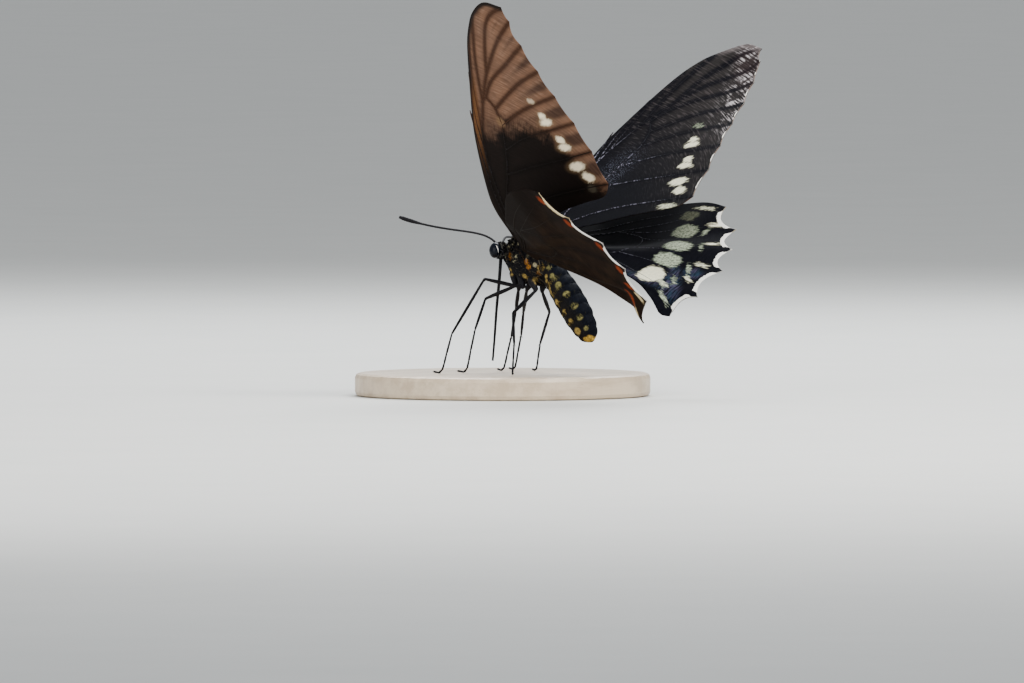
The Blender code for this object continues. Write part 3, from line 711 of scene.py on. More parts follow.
def polar(look, plan):
    """Distance from the wing's root and the angle there."""
    parts = look.node("SeparateXYZ", {"Vector": plan})
    angle = look.math("ARCTAN2", parts.outputs["X"], parts.outputs["Y"])
    return look.node("VectorMath", {0: plan}, operation="LENGTH").outputs["Value"], angle


def fringe_share(look, width=1.0):
    """1 in the pale scales that line the hollows of the wing's edge."""
    rough = look.noise(look.field("plan", "Vector"), 1.6, 2.0)
    band = look.times(look.field("fringe"), look.math("ADD", 0.55, rough), width)
    return look.step(look.math("SUBTRACT", look.field("edge"), band), 0.07, -0.07)


def grain(look, reach, angle, along, across, detail=2.0):
    """Noise with so many turns a millimetre along the veins, and so many a radian across them."""
    inputs = {"X": look.times(reach, along), "Y": look.times(angle, across)}
    return look.noise(look.node("CombineXYZ", inputs).outputs["Vector"], 1.0, detail)


def spot_share(look, name, fray, soft, ragged):
    """1 inside the named spots, with an edge frayed along the rows of scales."""
    wobble = look.times(look.math("SUBTRACT", fray, 0.5), ragged)
    return look.step(look.math("ADD", look.field(name), wobble), soft, -soft)


def fore_ground(look, settings, reach, rows, patches):
    """The fore wing's upper ground: browner, then rosy to its tip, with painted pale glints near the tip
    and painted bluish glints beside the cubitus. Also the pale glints' share.
    """
    vein, edge, costa = (look.field(name) for name in ("vein", "edge", "costa"))
    browned = look.times(look.step(reach, 16, 40), look.step(vein, 0.15, 1.1))
    ground = look.over(settings.ground, settings.outer, browned)
    dashes = look.times(look.step(rows, 0.52, 0.68), look.step(reach, 14, 34))
    ground = look.over(ground, (0.06, 0.05, 0.05), dashes, 0.5)
    rosy = look.times(look.step(reach, 42, 47), look.step(edge, 6, 3))
    ground = look.over(ground, (0.07, 0.047, 0.048), rosy, 0.3)
    # Painted highlight: pale glints in patches between the veins near the outer edge, laid into the colour.
    silver = look.times(look.step(reach, 33, 41), look.step(patches, 0.43, 0.57), look.step(edge, 6.5, 2.5))
    silver = look.times(silver, look.step(rows, 0.44, 0.62), look.step(vein, 0.25, 0.8))
    ground = look.over(ground, (0.5, 0.46, 0.47), silver, 0.9)
    rim = look.times(look.step(reach, 46, 49), look.step(costa, 1.6, 0.4))
    ground = look.over(ground, (0.20, 0.17, 0.17), rim, 0.5)
    # Painted highlight: bluish glints in fine dots beside the cubitus.
    fine = look.noise(look.field("plan", "Vector"), 5.5, 2.0, 0.6)
    sparkle = look.times(look.field("sparkle"), look.step(fine, 0.58, 0.68))
    return look.over(ground, (0.36, 0.38, 0.52), sparkle, 0.75), silver


def hind_ground(look, settings, rows, patches):
    """The hind wing's upper ground, with purple and bluish scales near the tail whose sheen is painted into
    the colour.
    """
    # Painted sheen: purple and bluish scales near the tail, lighter along the rows of scales.
    blue_sheen = look.times(look.field("violet"), look.step(rows, 0.3, 0.6))
    hue = look.mix(look.step(patches, 0.4, 0.6), (0.018, 0.036, 0.062), (0.055, 0.05, 0.095))
    return look.over(settings.ground, hue, blue_sheen, 0.8)


def upper_material(kind, settings):
    """Black scales with fine rows and cream spots, over the wing's own ground."""
    look = Look(f"{kind}_wing_upper", Specular_IOR_Level=0.05 if kind == "fore" else 0.025)
    plan = look.field("plan", "Vector")
    reach, angle = polar(look, plan)
    rows = grain(look, reach, angle, 3.6, 14.0, 3.0)
    fray = grain(look, reach, angle, 0.7, 75.0)
    patches = look.noise(plan, 0.42, 3.0, 0.6)
    roughness = 0.75
    if kind == "fore":
        # The fore wing's ground carries painted glints; where the pale ones lie, the surface is also
        # smoother.
        ground, silver = fore_ground(look, settings, reach, rows, patches)
        roughness = look.math("SUBTRACT", roughness, look.times(silver, 0.35))
    else:
        ground = hind_ground(look, settings, rows, patches)
    ground = look.shaded(ground, 0.45, look.step(rows, 0.3, 0.7))
    tone = look.field("tone")
    dim = look.mix(look.step(tone, 0.0, 0.6), (0.05, 0.052, 0.032), (0.33, 0.38, 0.28))
    cream = look.mix(look.step(tone, 0.6, 0.95), dim, settings.spot)
    dots = look.step(look.noise(plan, 2.4, 3.0, 0.75), 0.4, 0.56)
    cream = look.shaded(cream, 0.65, look.math("MAXIMUM", dots, look.step(tone, 0.6, 1.15)))
    colour = look.mix(spot_share(look, "spot", fray, 0.25, 1.6), ground, cream)
    colour = look.mix(fringe_share(look), colour, (0.78, 0.77, 0.72))
    return look.finish(colour, roughness, look.bump(rows, ROW_DEPTH))


def brown_ground(look, settings, reach, rows):
    """The fore wing's brown below, with dark veins, pale scales and a dark dash in each of its cells."""
    vein, edge = look.field("vein"), look.field("edge")
    broad = look.noise(look.field("plan", "Vector"), 0.22, 3.0)
    dull = look.mix(0.3, settings.brown, (0.05, 0.03, 0.025))
    brown = look.mix(look.step(broad, 0.38, 0.64), dull, settings.brown)
    brown = look.over(brown, (0.3, 0.19, 0.13), look.step(vein, 0.9, 1.5), look.step(rows, 0.4, 0.62), 0.22)
    brown = look.mix(look.step(vein, 0.05, 0.85), (0.045, 0.02, 0.011), brown)
    brown = look.over(brown, (0.043, 0.023, 0.017), look.step(vein, 1.3, 2.4), look.step(edge, 12, 2), 0.85)
    return look.over(brown, (0.03, 0.016, 0.012), look.step(reach, 30, 22), 0.45)


def fore_under_material(settings):
    """Brown beyond the cell and black-brown within it, with cream spots and darker streaks."""
    look = Look("fore_wing_under", Specular_IOR_Level=0.05)
    plan = look.field("plan", "Vector")
    reach, angle = polar(look, plan)
    rows = grain(look, reach, angle, 2.8, 9.0, 3.0)
    fray = grain(look, reach, angle, 0.7, 60.0)
    vein, costa = look.field("vein"), look.field("costa")
    brown = brown_ground(look, settings, reach, rows)
    wobble = look.times(look.math("SUBTRACT", look.noise(plan, 0.35, 3.0), 0.5), 7.0)
    streak = look.times(look.math("SUBTRACT", fray, 0.5), 4.0)
    basal = look.math("ADD", look.field("basal"), look.math("ADD", wobble, streak))
    dark = look.mix(look.step(vein, 0.1, 1.2), (0.0045, 0.0028, 0.0022), (0.0075, 0.0045, 0.0036))
    colour = look.mix(look.step(basal, -3.2, 2.4), brown, dark)
    along = look.times(look.step(reach, 36, 26), look.step(reach, 10, 24))
    colour = look.over(colour, (0.15, 0.062, 0.02), look.step(costa, 2.4, 1.1), along, 0.75)
    colour = look.over(colour, (0.015, 0.009, 0.007), look.step(costa, 1.2, 0.3), look.step(reach, 24, 32))
    colour = look.over(colour, (0.012, 0.008, 0.007), look.step(costa, 0.6, 0.25))
    colour = look.over(colour, (0.17, 0.098, 0.052), look.step(look.field("patch"), 0.5, -0.4))
    colour = look.shaded(colour, 0.28, look.step(rows, 0.3, 0.7))
    shown = look.step(look.field("under_tone"), 0.1, 0.9)
    halo = look.step(look.field("under_spot"), 0.9, 0.1)
    colour = look.over(colour, (0.2, 0.12, 0.06), halo, shown, 0.3)
    colour = look.over(colour, (0.88, 0.75, 0.54), spot_share(look, "under_spot", fray, 0.32, 0.7), shown)
    return look.finish(colour, 0.72, look.bump(rows, ROW_DEPTH))


def hind_under_material(settings):
    """Dark brown with red marks near the teeth, and cream crescents along the notches."""
    look = Look("hind_wing_under", Specular_IOR_Level=0.04)
    plan = look.field("plan", "Vector")
    reach, angle = polar(look, plan)
    rows = grain(look, reach, angle, 2.8, 9.0, 3.0)
    fray = grain(look, reach, angle, 0.7, 60.0)
    between = look.step(look.field("vein"), 0.1, 1.3)
    ground = look.mix(between, (0.007, 0.0042, 0.0032), (0.0115, 0.0063, 0.0042))
    olive = look.step(look.noise(plan, 0.3, 3.0), 0.42, 0.7)
    ground = look.over(ground, (0.022, 0.0125, 0.007), olive, 0.6)
    ground = look.over(ground, (0.0065, 0.004, 0.0032), look.step(angle, 0.5, 0.85))
    ground = look.shaded(ground, 0.4, look.step(rows, 0.3, 0.7))
    red = look.mix(look.noise(plan, 1.2, 2.0), (0.08, 0.014, 0.005), settings.red)
    colour = look.over(ground, red, spot_share(look, "red", fray, 0.3, 0.7))
    colour = look.over(colour, (0.50, 0.40, 0.22), spot_share(look, "pale", fray, 0.22, 0.5))
    white = look.mix(look.step(look.field("front"), 0.3, 0.7), (0.66, 0.65, 0.62), (0.55, 0.46, 0.28))
    colour = look.over(colour, white, fringe_share(look, 0.75), look.step(angle, -0.16, -0.11))
    return look.finish(colour, 0.8, look.bump(rows, ROW_DEPTH))


def vein_material():
    """A vein's narrow scales: black above with painted pale glints near the root, and dark brown below."""
    look = Look("wing_veins", Specular_IOR_Level=0.06)
    # Painted highlight: pale glints in specks on the veins' upper side near the root.
    speck = look.step(look.noise(look.place(), 2600.0, 2.0), 0.45, 0.65)
    silver = look.times(look.field("silver"), speck)
    upper = look.mix(look.times(silver, 0.8), (0.006, 0.006, 0.008), (0.28, 0.27, 0.35))
    under = look.mix(look.field("outer"), (0.006, 0.004, 0.0032), (0.045, 0.019, 0.01))
    colour = look.mix(look.field("top"), under, upper)
    return look.finish(colour, 0.7, look.bump(speck, 0.02 * MM))


def wing_sheet(outline, step):
    """The wing's plan as one flat face, cut by a square grid into small ones."""
    bm = bmesh.new()
    bm.faces.new([bm.verts.new((p.x, p.y, 0)) for p in outline])
    bmesh.ops.recalc_face_normals(bm, faces=bm.faces)
    bmesh.ops.triangulate(bm, faces=bm.faces[:])
    for axis, normal in enumerate((Vector((1, 0, 0)), Vector((0, 1, 0)))):
        low = min(p[axis] for p in outline)
        high = max(p[axis] for p in outline)
        for k in range(1, int((high - low) / step) + 1):
            bmesh.ops.bisect_plane(
                bm,
                geom=bm.verts[:] + bm.edges[:] + bm.faces[:],
                dist=step * 0.02,
                plane_co=normal * (low + k * step),
                plane_no=normal,
            )
    bmesh.ops.triangulate(bm, faces=bm.faces[:])
    return bm


def add_wing(kind, side, settings, data, materials):
    """One wing with its markings as fields, and its veins as rods that stand out of both faces."""
    leading, ends, inner, scallops, vein_table, camber, root, raised, twist = data
    front, outer, back = wing_outline(leading, ends, inner, scallops[side])
    tongue = [Vector((-ROOT_TONGUE, back[-1].y * 0.6)), Vector((-ROOT_TONGUE, front[0].y + 0.3))]
    bm = wing_sheet(front[:-1] + outer + back[1:] + tongue, settings.mesh_step / MM)
    bmesh.ops.recalc_face_normals(bm, faces=bm.faces)
    if next(iter(bm.faces)).normal.z < 0:
        bmesh.ops.reverse_faces(bm, faces=bm.faces)
    bmesh.ops.solidify(bm, geom=bm.faces[:], thickness=settings.thickness / MM)
    bm.normal_update()
    for face in bm.faces:
        face.material_index = 0 if face.normal.z > 0.5 else 1
    plan = np.array([vert.co.xy for vert in bm.verts])
    for vert, rise in zip(bm.verts, camber(plan[:, 0], plan[:, 1])):
        vert.co.z += rise
    place = wing_axes(side, root[side], raised[side], twist)
    bm.transform(place)
    if side == "right":
        bmesh.ops.reverse_faces(bm, faces=bm.faces)
    wing = add_piece(f"{kind}wing_{side}_scaled", bm, materials[:2], [f"{kind}wing_{side}"])
    veins = {}
    for name, line in vein_table.items():
        end = [ends[name]] if name in ends else []
        veins[name] = smooth_curve([*line, *end], VEIN_STEP)
    mesh = wing.data
    set_field(mesh, "plan", np.column_stack((plan, np.zeros(len(plan)))))
    set_field(mesh, "vein", line_distance(plan, veins.values()))
    set_field(mesh, "edge", line_distance(plan, [outer]))
    set_field(mesh, "costa", line_distance(plan, [front]))
    tips = np.array(list(ends.values()))
    to_tip = np.min(np.linalg.norm(plan[:, None, :] - tips, axis=2), axis=1)
    if kind == "fore":
        set_field(mesh, "fringe", 0.2 * ease(1.8, 2.6, to_tip))
        set_fore_marks(mesh, plan, veins["Cu"])
    else:
        set_field(mesh, "fringe", 0.68 * ease(1.1, 2.3, to_tip))
        set_hind_marks(mesh, plan)
    add_veins(kind, side, settings, veins.values(), camber, place, materials[2])


def set_fore_marks(mesh, plan, cubitus):
    """The spots above and below, the dark inner part below, and the painted glints beside the cubitus
    above.
    """
    for prefix, table in (("", FORE_SPOTS), ("under_", FORE_UNDER_SPOTS)):
        spots, tone = spot_field(plan, table)
        set_field(mesh, prefix + "spot", spots)
        set_field(mesh, prefix + "tone", tone)
    set_field(mesh, "basal", np.interp(plan[:, 1], BASAL_BACK, BASAL_OUT) - plan[:, 0])
    set_field(mesh, "patch", spot_field(plan, UNDER_PATCH)[0])
    # Where the painted bluish glints lie: beside the cubitus, in the middle of the wing.
    beside = np.exp(-(((line_distance(plan, [cubitus]) - 1.2) / 1.6) ** 2))
    middle = ease(7, 12, plan[:, 0]) * ease(24, 17, plan[:, 0]) * ease(20, 9, plan[:, 1])
    set_field(mesh, "sparkle", beside * middle)


def set_hind_marks(mesh, plan):
    """The spots and the purple scales with their painted sheen above, and the red and pale marks below."""
    spots, tone = spot_field(plan, HIND_UPPER_SPOTS, 3.0)
    set_field(mesh, "spot", spots)
    set_field(mesh, "tone", tone)
    set_field(mesh, "red", spot_field(plan, HIND_RED_SPOTS)[0])
    set_field(mesh, "pale", spot_field(plan, HIND_PALE_SPOTS)[0])
    set_field(mesh, "front", ease(13, 17, plan[:, 0]))
    # Where the purple scales lie, with their painted sheen.
    marks = ease(0.9, -0.4, spot_field(plan, VIOLET_SHEEN_MARKS)[0])
    line = 0.6 * ease(0.6, -0.2, spot_field(plan, VIOLET_SHEEN_LINE)[0])
    set_field(mesh, "violet", np.maximum(marks, line))


def add_veins(kind, side, settings, veins, camber, place, finish):
    """A wing's veins as rods, sunk to their middles in the sheet, that thin out towards the edge."""
    # How much the veins thin out and over what reach, and how much painted glint their upper side takes.
    slimming, slim_at, silver = (0.5, 42, 1.0) if kind == "fore" else (0.75, 30, 0.25)
    middle = -0.5 * settings.thickness / MM
    bm = bmesh.new()
    for line in veins:
        points = [Vector((p.x, p.y, float(camber(p.x, p.y)) + middle)) for p in line]
        radius = settings.vein_radius / MM
        radii = [radius * (1 - slimming * min(1, p.length / slim_at)) for p in points]
        radii[-1] *= 0.6
        add_rod(bm, points, radii, 6)
    flat = np.array([vert.co for vert in bm.verts])
    bm.transform(place)
    bmesh.ops.recalc_face_normals(bm, faces=bm.faces)
    piece = add_piece(f"{kind}wing_{side}_veins", bm, [finish])
    reach = np.hypot(flat[:, 0], flat[:, 1])
    set_field(piece.data, "top", ease(-0.05, 0.05, flat[:, 2] - camber(flat[:, 0], flat[:, 1]) - middle))
    # Where the veins' painted glints lie: from about 3 to 27 mm out from the root.
    set_field(piece.data, "silver", ease(3, 8, reach) * ease(27, 18, reach) * silver)
    set_field(piece.data, "outer", ease(20, 24, flat[:, 0]))


class SWALLOWTAIL_OT_wings(bpy.types.Operator):
    """Builds the four wings with their markings and veins."""

    bl_idname = "swallowtail.wings"
    bl_label = "Build wings"

    def execute(self, context):
        settings = context.scene.swallowtail_wings
        fore_plan = (FORE_LEADING, FORE_ENDS, FORE_INNER, FORE_SCALLOPS, FORE_VEINS)
        hind_plan = (HIND_LEADING, HIND_ENDS, HIND_INNER, HIND_SCALLOPS, HIND_VEINS)
        fore = (*fore_plan, fore_camber, FORE_ROOT, FORE_RAISED, FORE_TWIST)
        hind = (*hind_plan, hind_camber, HIND_ROOT, HIND_RAISED, HIND_TWIST)
        veins = vein_material()
        fore_finish = (upper_material("fore", settings), fore_under_material(settings), veins)
        hind_finish = (upper_material("hind", settings), hind_under_material(settings), veins)
        for side in ("left", "right"):
            add_wing("fore", side, settings, fore, fore_finish)
            add_wing("hind", side, settings, hind, hind_finish)
        return {"FINISHED"}


def body_axes(points):
    """Points of the frame in the animal's own axes, in millimetres."""
    back = np.array(BODY.inverted())
    return (points @ back[:3, :3].T + back[:3, 3]) / MM


def line_place(points, line, step=0.25):
    """For each point, how far along the line its nearest place is (0 to 1), and the offset from there."""
    line = np.array([tuple(p) for p in smooth_curve(line, step)])
    best = np.full(len(points), np.inf)
    share = np.zeros(len(points))
    offset = np.zeros((len(points), 3))
    for i, at in enumerate(line):
        away = points - at
        gap = np.linalg.norm(away, axis=1)
        closer = gap < best
        best[closer] = gap[closer]
        share[closer] = i / (len(line) - 1)
        offset[closer] = away[closer]
    return share, offset


def mirrored_left(points):
    """Both sides' points of the animal's own axes, brought to its left."""
    return np.column_stack((np.abs(points[:, 0]), points[:, 1], points[:, 2]))


def from_eye(points):
    """Distance from the nearer eye's middle, where 1 is its surface."""
    return np.linalg.norm((mirrored_left(points) - EYE_MIDDLE) / np.array(EYE_RADII), axis=1)


def tint(colours, share, colour):
    """Each point's colour moved towards the one given, by the point's own share."""
    return colours + share[:, None] * (np.array(colour) - colours)


def body_paint(points, settings):
    """The body's colours at points of its own axes: black, bluer along the back, with pale side spots."""
    _, offset = line_place(points, ABDOMEN_LINE)
    around = np.arctan2(np.abs(offset[:, 0]), offset[:, 2] + 0.6 * offset[:, 1])
    abdomen = ease(4.5, 7.0, points[:, 1])
    colours = np.tile(np.array(settings.black), (len(points), 1))
    colours = tint(colours, ease(1.3, 0.7, around) * abdomen, BACK_BLUE)
    colours = tint(colours, ease(1.2, 1.6, around) * abdomen, SIDE_GREY)
    for middle, radius, colour in BODY_SPOTS:
        gap = np.linalg.norm((mirrored_left(points) - middle) * (0.5, 1, 1), axis=1)
        colours = tint(colours, ease(radius + SPOT_EDGE, radius - SPOT_EDGE, gap), colour)
    rim = ease(1.38, 1.2, from_eye(points)) * ease(-6.9, -6.4, points[:, 1])
    return tint(colours, 0.9 * rim, EYE_RIM)


def smooth(bm, rounds):
    """Moves each vertex halfway to the middle of its neighbours, so many times."""
    every_way = {"use_axis_x": True, "use_axis_y": True, "use_axis_z": True}
    for _ in range(rounds):
        bmesh.ops.smooth_vert(bm, verts=bm.verts, factor=0.5, **every_way)


def skin_shape(settings):
    """Head, thorax and abdomen as one closed skin, which lies inside the solids by the coat's depth."""
    bm = bmesh.new()
    for name in ("head", "thorax", "abdomen"):
        bm.from_mesh(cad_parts[name].data)
    bmesh.ops.remove_doubles(bm, verts=bm.verts, dist=0.002 * MM)
    bmesh.ops.recalc_face_normals(bm, faces=bm.faces)
    bm.normal_update()
    grow(bm, SKIN_OVERLAP)
    mesh = bpy.data.meshes.new("skin_draft")
    bm.to_mesh(mesh)
    bm.free()
    draft = add_object("skin_draft", mesh)
    remesh = draft.modifiers.new("one_skin", "REMESH")
    remesh.mode = "VOXEL"
    remesh.voxel_size = settings.skin_step
    graph = bpy.context.evaluated_depsgraph_get()
    shape = bpy.data.meshes.new_from_object(draft.evaluated_get(graph))
    bpy.data.objects.remove(draft)
    bm = bmesh.new()
    bm.from_mesh(shape)
    smooth(bm, 6)
    bm.normal_update()
    grow(bm, -SKIN_OVERLAP - settings.coat_depth)
    points = body_axes(np.array([vert.co for vert in bm.verts]))
    share, _ = line_place(points, ABDOMEN_LINE, 0.1)
    folds = np.abs(np.cos(np.pi * ABDOMEN_SEGMENTS * (share + 0.02))) ** 10
    folds *= ease(5.0, 7.0, points[:, 1]) * ease(0.99, 0.93, share)
    bm.normal_update()
    for vert, depth in zip(bm.verts, folds * FOLD_DEPTH):
        vert.co -= vert.normal * float(depth)
    smooth(bm, 2)
    return bm


def grow(bm, by):
    """Moves each vertex along its normal."""
    places = [vert.co + vert.normal * by for vert in bm.verts]
    for vert, place in zip(bm.verts, places):
        vert.co = place


def repeat_tuft(name, count):
    """One small tuft made count times over as a mesh. Its corner attribute numbers each tuft's corners."""
    bm = bmesh.new()
    up = Matrix.Translation((0, 0, 0.5))
    bmesh.ops.create_cone(bm, cap_ends=True, segments=3, radius1=1, radius2=0, depth=1, matrix=up)
    stems = [edge for edge in bm.edges if abs(edge.verts[0].co.z - edge.verts[1].co.z) > 0.5]
    bmesh.ops.subdivide_edges(bm, edges=stems, cuts=1)
    corner = bm.verts.layers.int.new("corner")
    for i, vert in enumerate(bm.verts):
        vert[corner] = i
    shape = np.array([vert.co for vert in bm.verts])
    sizes = [len(bm.verts), len(bm.edges), len(bm.faces)]
    made = 1
    while made < count:
        extra = min(made, count - made)
        geom = []
        for parts, size in zip((bm.verts, bm.edges, bm.faces), sizes):
            geom += list(parts)[: size * extra]
        bmesh.ops.duplicate(bm, geom=geom)
        made += extra
    mesh = bpy.data.meshes.new(name)
    bm.to_mesh(mesh)
    bm.free()
    return mesh, shape


def read_values(items, key, size, kind=float):
    """One number, or a row of size numbers, for each of a mesh's items."""
    values = np.zeros(len(items) * size, kind)
    items.foreach_get(key, values)
    return values.reshape(-1, size) if size > 1 else values


def surface_samples(mesh, count, seed, wanted):
    """Random places on the mesh's faces where wanted says so: their points and normals."""
    mesh.calc_loop_triangles()
    co = read_values(mesh.vertices, "co", 3)
    normals = read_values(mesh.vertices, "normal", 3)
    corners = read_values(mesh.loop_triangles, "vertices", 3, np.int32)
    tri = co[corners]
    area = np.linalg.norm(np.cross(tri[:, 1] - tri[:, 0], tri[:, 2] - tri[:, 0]), axis=1)
    area = area * wanted(body_axes(tri.mean(axis=1)))
    draw = np.random.default_rng(seed)
    chosen = draw.choice(len(area), count, p=area / area.sum())
    u, v = draw.random(count), draw.random(count)
    over = u + v > 1
    u[over], v[over] = 1 - u[over], 1 - v[over]
    weights = np.column_stack((1 - u - v, u, v))[:, :, None]
    points = (tri[chosen] * weights).sum(axis=1)
    facing = (normals[corners[chosen]] * weights).sum(axis=1)
    return points, facing / np.linalg.norm(facing, axis=1)[:, None], draw


def unit(vectors):
    """The vectors at length 1."""
    return vectors / np.maximum(np.linalg.norm(vectors, axis=1), 1e-9)[:, None]


def add_coat(skin, region, finish, settings):
    """Tufts of one region of the skin, which lie back along the body."""
    count = getattr(settings, f"{region}_hairs")
    seed, wanted, length, width, lift, frost = COATS[region]
    points, normals, draw = surface_samples(skin, count, seed, wanted)
    own = body_axes(points)
    mesh, shape = repeat_tuft(f"coat_{region}", count)
    share, offset = line_place(own, BODY_LINE)
    tangent = np.gradient(np.array([tuple(p) for p in smooth_curve(BODY_LINE, 0.25)]), axis=0)
    tangent = tangent[np.clip((share * (len(tangent) - 1)).astype(int), 0, len(tangent) - 1)]
    stray = draw.normal(0, 0.25, (count, 3)) * np.linalg.norm(tangent, axis=1)[:, None]
    lay = unit(tangent @ np.array(BODY.to_3x3()).T + stray)
    lay = unit(lay - (lay * normals).sum(axis=1)[:, None] * normals)
    rise = lift(own)[:, None] * draw.uniform(0.7, 1.3, (count, 1))
    stem = unit(lay * np.cos(rise) + normals * np.sin(rise))
    side = unit(np.cross(stem, normals))
    flat = np.cross(side, stem)
    long = length(own)[:, None] * MM * draw.uniform(0.6, 1.15, (count, 1))
    wide = width * MM * draw.uniform(0.8, 1.2, (count, 1))
    corner = read_values(mesh.attributes["corner"].data, "value", 1, np.int32)
    tuft = np.arange(len(corner)) // len(shape)
    local = shape[corner]
    droop = -(local[:, 2] ** 2)[:, None] * 0.22 * long[tuft]
    place = points[tuft] - normals[tuft] * TUFT_ROOT_DEPTH
    place += side[tuft] * (local[:, :1] * wide[tuft]) + flat[tuft] * (local[:, 1:2] * wide[tuft] * 0.4)
    place += stem[tuft] * (local[:, 2:] * long[tuft]) + normals[tuft] * droop
    mesh.vertices.foreach_set("co", place.ravel())
    mesh.attributes.remove(mesh.attributes["corner"])
    around = np.arctan2(offset[:, 0], offset[:, 2]) / (2 * math.pi) + 0.5
    root = np.column_stack((around, share)) * 0.98 + 0.01
    loops = read_values(mesh.loops, "vertex_index", 1, np.int32)
    patch = root[tuft[loops]] + (local[loops][:, [0, 2]] - (0, 0.5)) * TUFT_PATCH
    mesh.uv_layers.new(name="OFBake").data.foreach_set("uv", patch.ravel())
    paint = body_paint(own, settings) * draw.uniform(0.75, 1.25, (count, 1))
    frosted = (draw.random(count) < frost)[:, None]
    set_paint(mesh, np.where(frosted, np.maximum(paint, FROST), paint)[tuft])
    set_field(mesh, "height", local[:, 2])
    mesh.materials.append(finish)
    mesh.validate()
    mesh.update()
    piece = add_object(f"coat_{region}", mesh)
    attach(piece, "root")


def coat_material():
    """The body's own colours, darker at the tufts' roots."""
    look = Look("coat", Specular_IOR_Level=0.06)
    paint = look.field("paint", "Color")
    colour = look.shaded(paint, 0.5, look.field("height"))
    grain = look.noise(look.place(), 5000.0, 2.0)
    return look.finish(colour, 0.6, look.bump(grain, 0.01 * MM))


def skin_material():
    """The body's own colours, darker in the pits of a fine grain."""
    look = Look("skin", Specular_IOR_Level=0.06)
    paint = look.field("paint", "Color")
    grain = look.noise(look.place(), 4000.0, 3.0)
    colour = look.shaded(paint, 0.6, look.step(grain, 0.35, 0.65))
    return look.finish(colour, 0.7, look.bump(grain, 0.05 * MM))


def on_head(p):
    """Ahead of the head's back, and clear of the eyes."""
    return (p[:, 1] < HEAD_BACK) & (from_eye(p) > 1.22)


def on_thorax(p):
    """Between the head's back and the abdomen's root."""
    return (p[:, 1] >= HEAD_BACK) & (p[:, 1] < 5.4)


def on_abdomen(p):
    """Behind the thorax."""
    return p[:, 1] >= 5.2


def head_length(p):
    """Longer on the crown and at the front."""
    return 0.36 + 0.22 * ease(-2.4, -1.4, p[:, 2]) + 0.2 * ease(-8.0, -8.5, p[:, 1])


def thorax_length(p):
    """Longer on the upper side, shorter where the abdomen joins."""
    return (0.42 + 0.75 * ease(-6.5, -1.5, p[:, 2])) * (1 - 0.5 * ease(2.5, 5.2, p[:, 1]))


def thorax_lift(p):
    """The tufts stand up more on the upper side."""
    return 0.45 + 0.2 * ease(-4, 0, p[:, 2])


def everywhere(value):
    """A function of the body's points that gives all of them the one value."""
    return lambda p: np.full(len(p), value)


# The coat's regions: seed of its random draws, where it grows, the tufts' length and width in millimetres,
# how far they stand off the skin in radians, and the share of them that are pale.
COATS = {
    "head": (3, on_head, head_length, 0.028, everywhere(0.75), 0.05),
    "thorax": (5, on_thorax, thorax_length, 0.032, thorax_lift, 0.06),
    "abdomen": (7, on_abdomen, everywhere(0.34), 0.05, everywhere(0.22), 0.0),
}


class SWALLOWTAIL_OT_body(bpy.types.Operator):
    """Builds the skin of head, thorax and abdomen, and the coat over it."""

    bl_idname = "swallowtail.body"
    bl_label = "Build body"

    def execute(self, context):
        settings = context.scene.swallowtail_body
        bm = skin_shape(settings)
        skin = add_piece("skin", bm, [skin_material()], ["head", "thorax", "abdomen"])
        places = np.array([vert.co for vert in skin.data.vertices])
        set_paint(skin.data, body_paint(body_axes(places), settings))
        finish = coat_material()
        for region in COATS:
            add_coat(skin.data, region, finish, settings)
        return {"FINISHED"}


def eye_material():
    """Shining near-black, with fine facets and bluish clouds."""
    look = Look("eye", Specular_IOR_Level=0.12)
    facets = look.node("TexVoronoi", {"Vector": look.place(), "Scale": 13000.0}).outputs["Distance"]
    band = look.noise(look.place(), 900.0, 2.0)
    colour = look.mix(band, (0.001, 0.0014, 0.003), (0.0025, 0.0045, 0.01))
    return look.finish(colour, 0.2, look.bump(facets, 0.008 * MM, 0.3))


def crescent_material():
    """White scales at the back of the eye."""
    look = Look("white_scales", Specular_IOR_Level=0.1)
    flecks = look.noise(look.place(), 9000.0, 2.0)
    return look.finish(look.mix(flecks, (0.55, 0.54, 0.5), (0.85, 0.84, 0.8)), 0.7)


class SWALLOWTAIL_OT_eyes(bpy.types.Operator):
    """Builds the two faceted eyes and the white crescents at their backs."""

    bl_idname = "swallowtail.eyes"
    bl_label = "Build eyes"

    def execute(self, context):
        finish = eye_material()
        white = crescent_material()
        middle, radii = Vector(EYE_MIDDLE), Vector(EYE_RADII)
        crescent = smooth_curve([middle + Vector(p).normalized() * radii * 1.01 for p in EYE_CRESCENT], 0.1)
        shares = np.linspace(0.06, 0.94, len(crescent))
        widths = [CRESCENT_RADIUS * math.sin(math.pi * share) for share in shares]
        for side, sign in SIDES:
            flip = Matrix.Scale(sign, 4, (1, 0, 0))
            shape = Matrix.Translation(flip @ middle * MM) @ Matrix.Diagonal((*(radii * MM), 1))
            bm = bmesh.new()
            bmesh.ops.create_uvsphere(bm, u_segments=64, v_segments=40, radius=1, matrix=BODY @ shape)
            bmesh.ops.recalc_face_normals(bm, faces=bm.faces)
            add_piece(f"eye_{side}_faceted", bm, [finish], [f"eye_{side}"])
            rod = ([flip @ p for p in crescent], widths)
            rod_piece(f"eye_{side}_crescent", [rod], white, (), 8)
        return {"FINISHED"}


def limb_material(name):
    """The black of feelers and legs, with a painted bluish-grey sheen in fine specks."""
    look = Look(name, Specular_IOR_Level=0.08)
    grain = look.noise(look.place(), 3500.0, 3.0)
    paint = look.field("paint", "Color")
    # Painted sheen: fine bluish-grey specks laid over the black.
    colour = look.over(paint, look.mix(0.08, paint, (0.06, 0.07, 0.1)), look.step(grain, 0.45, 0.75))
    return look.finish(colour, 0.55, look.bump(grain, 0.03 * MM))


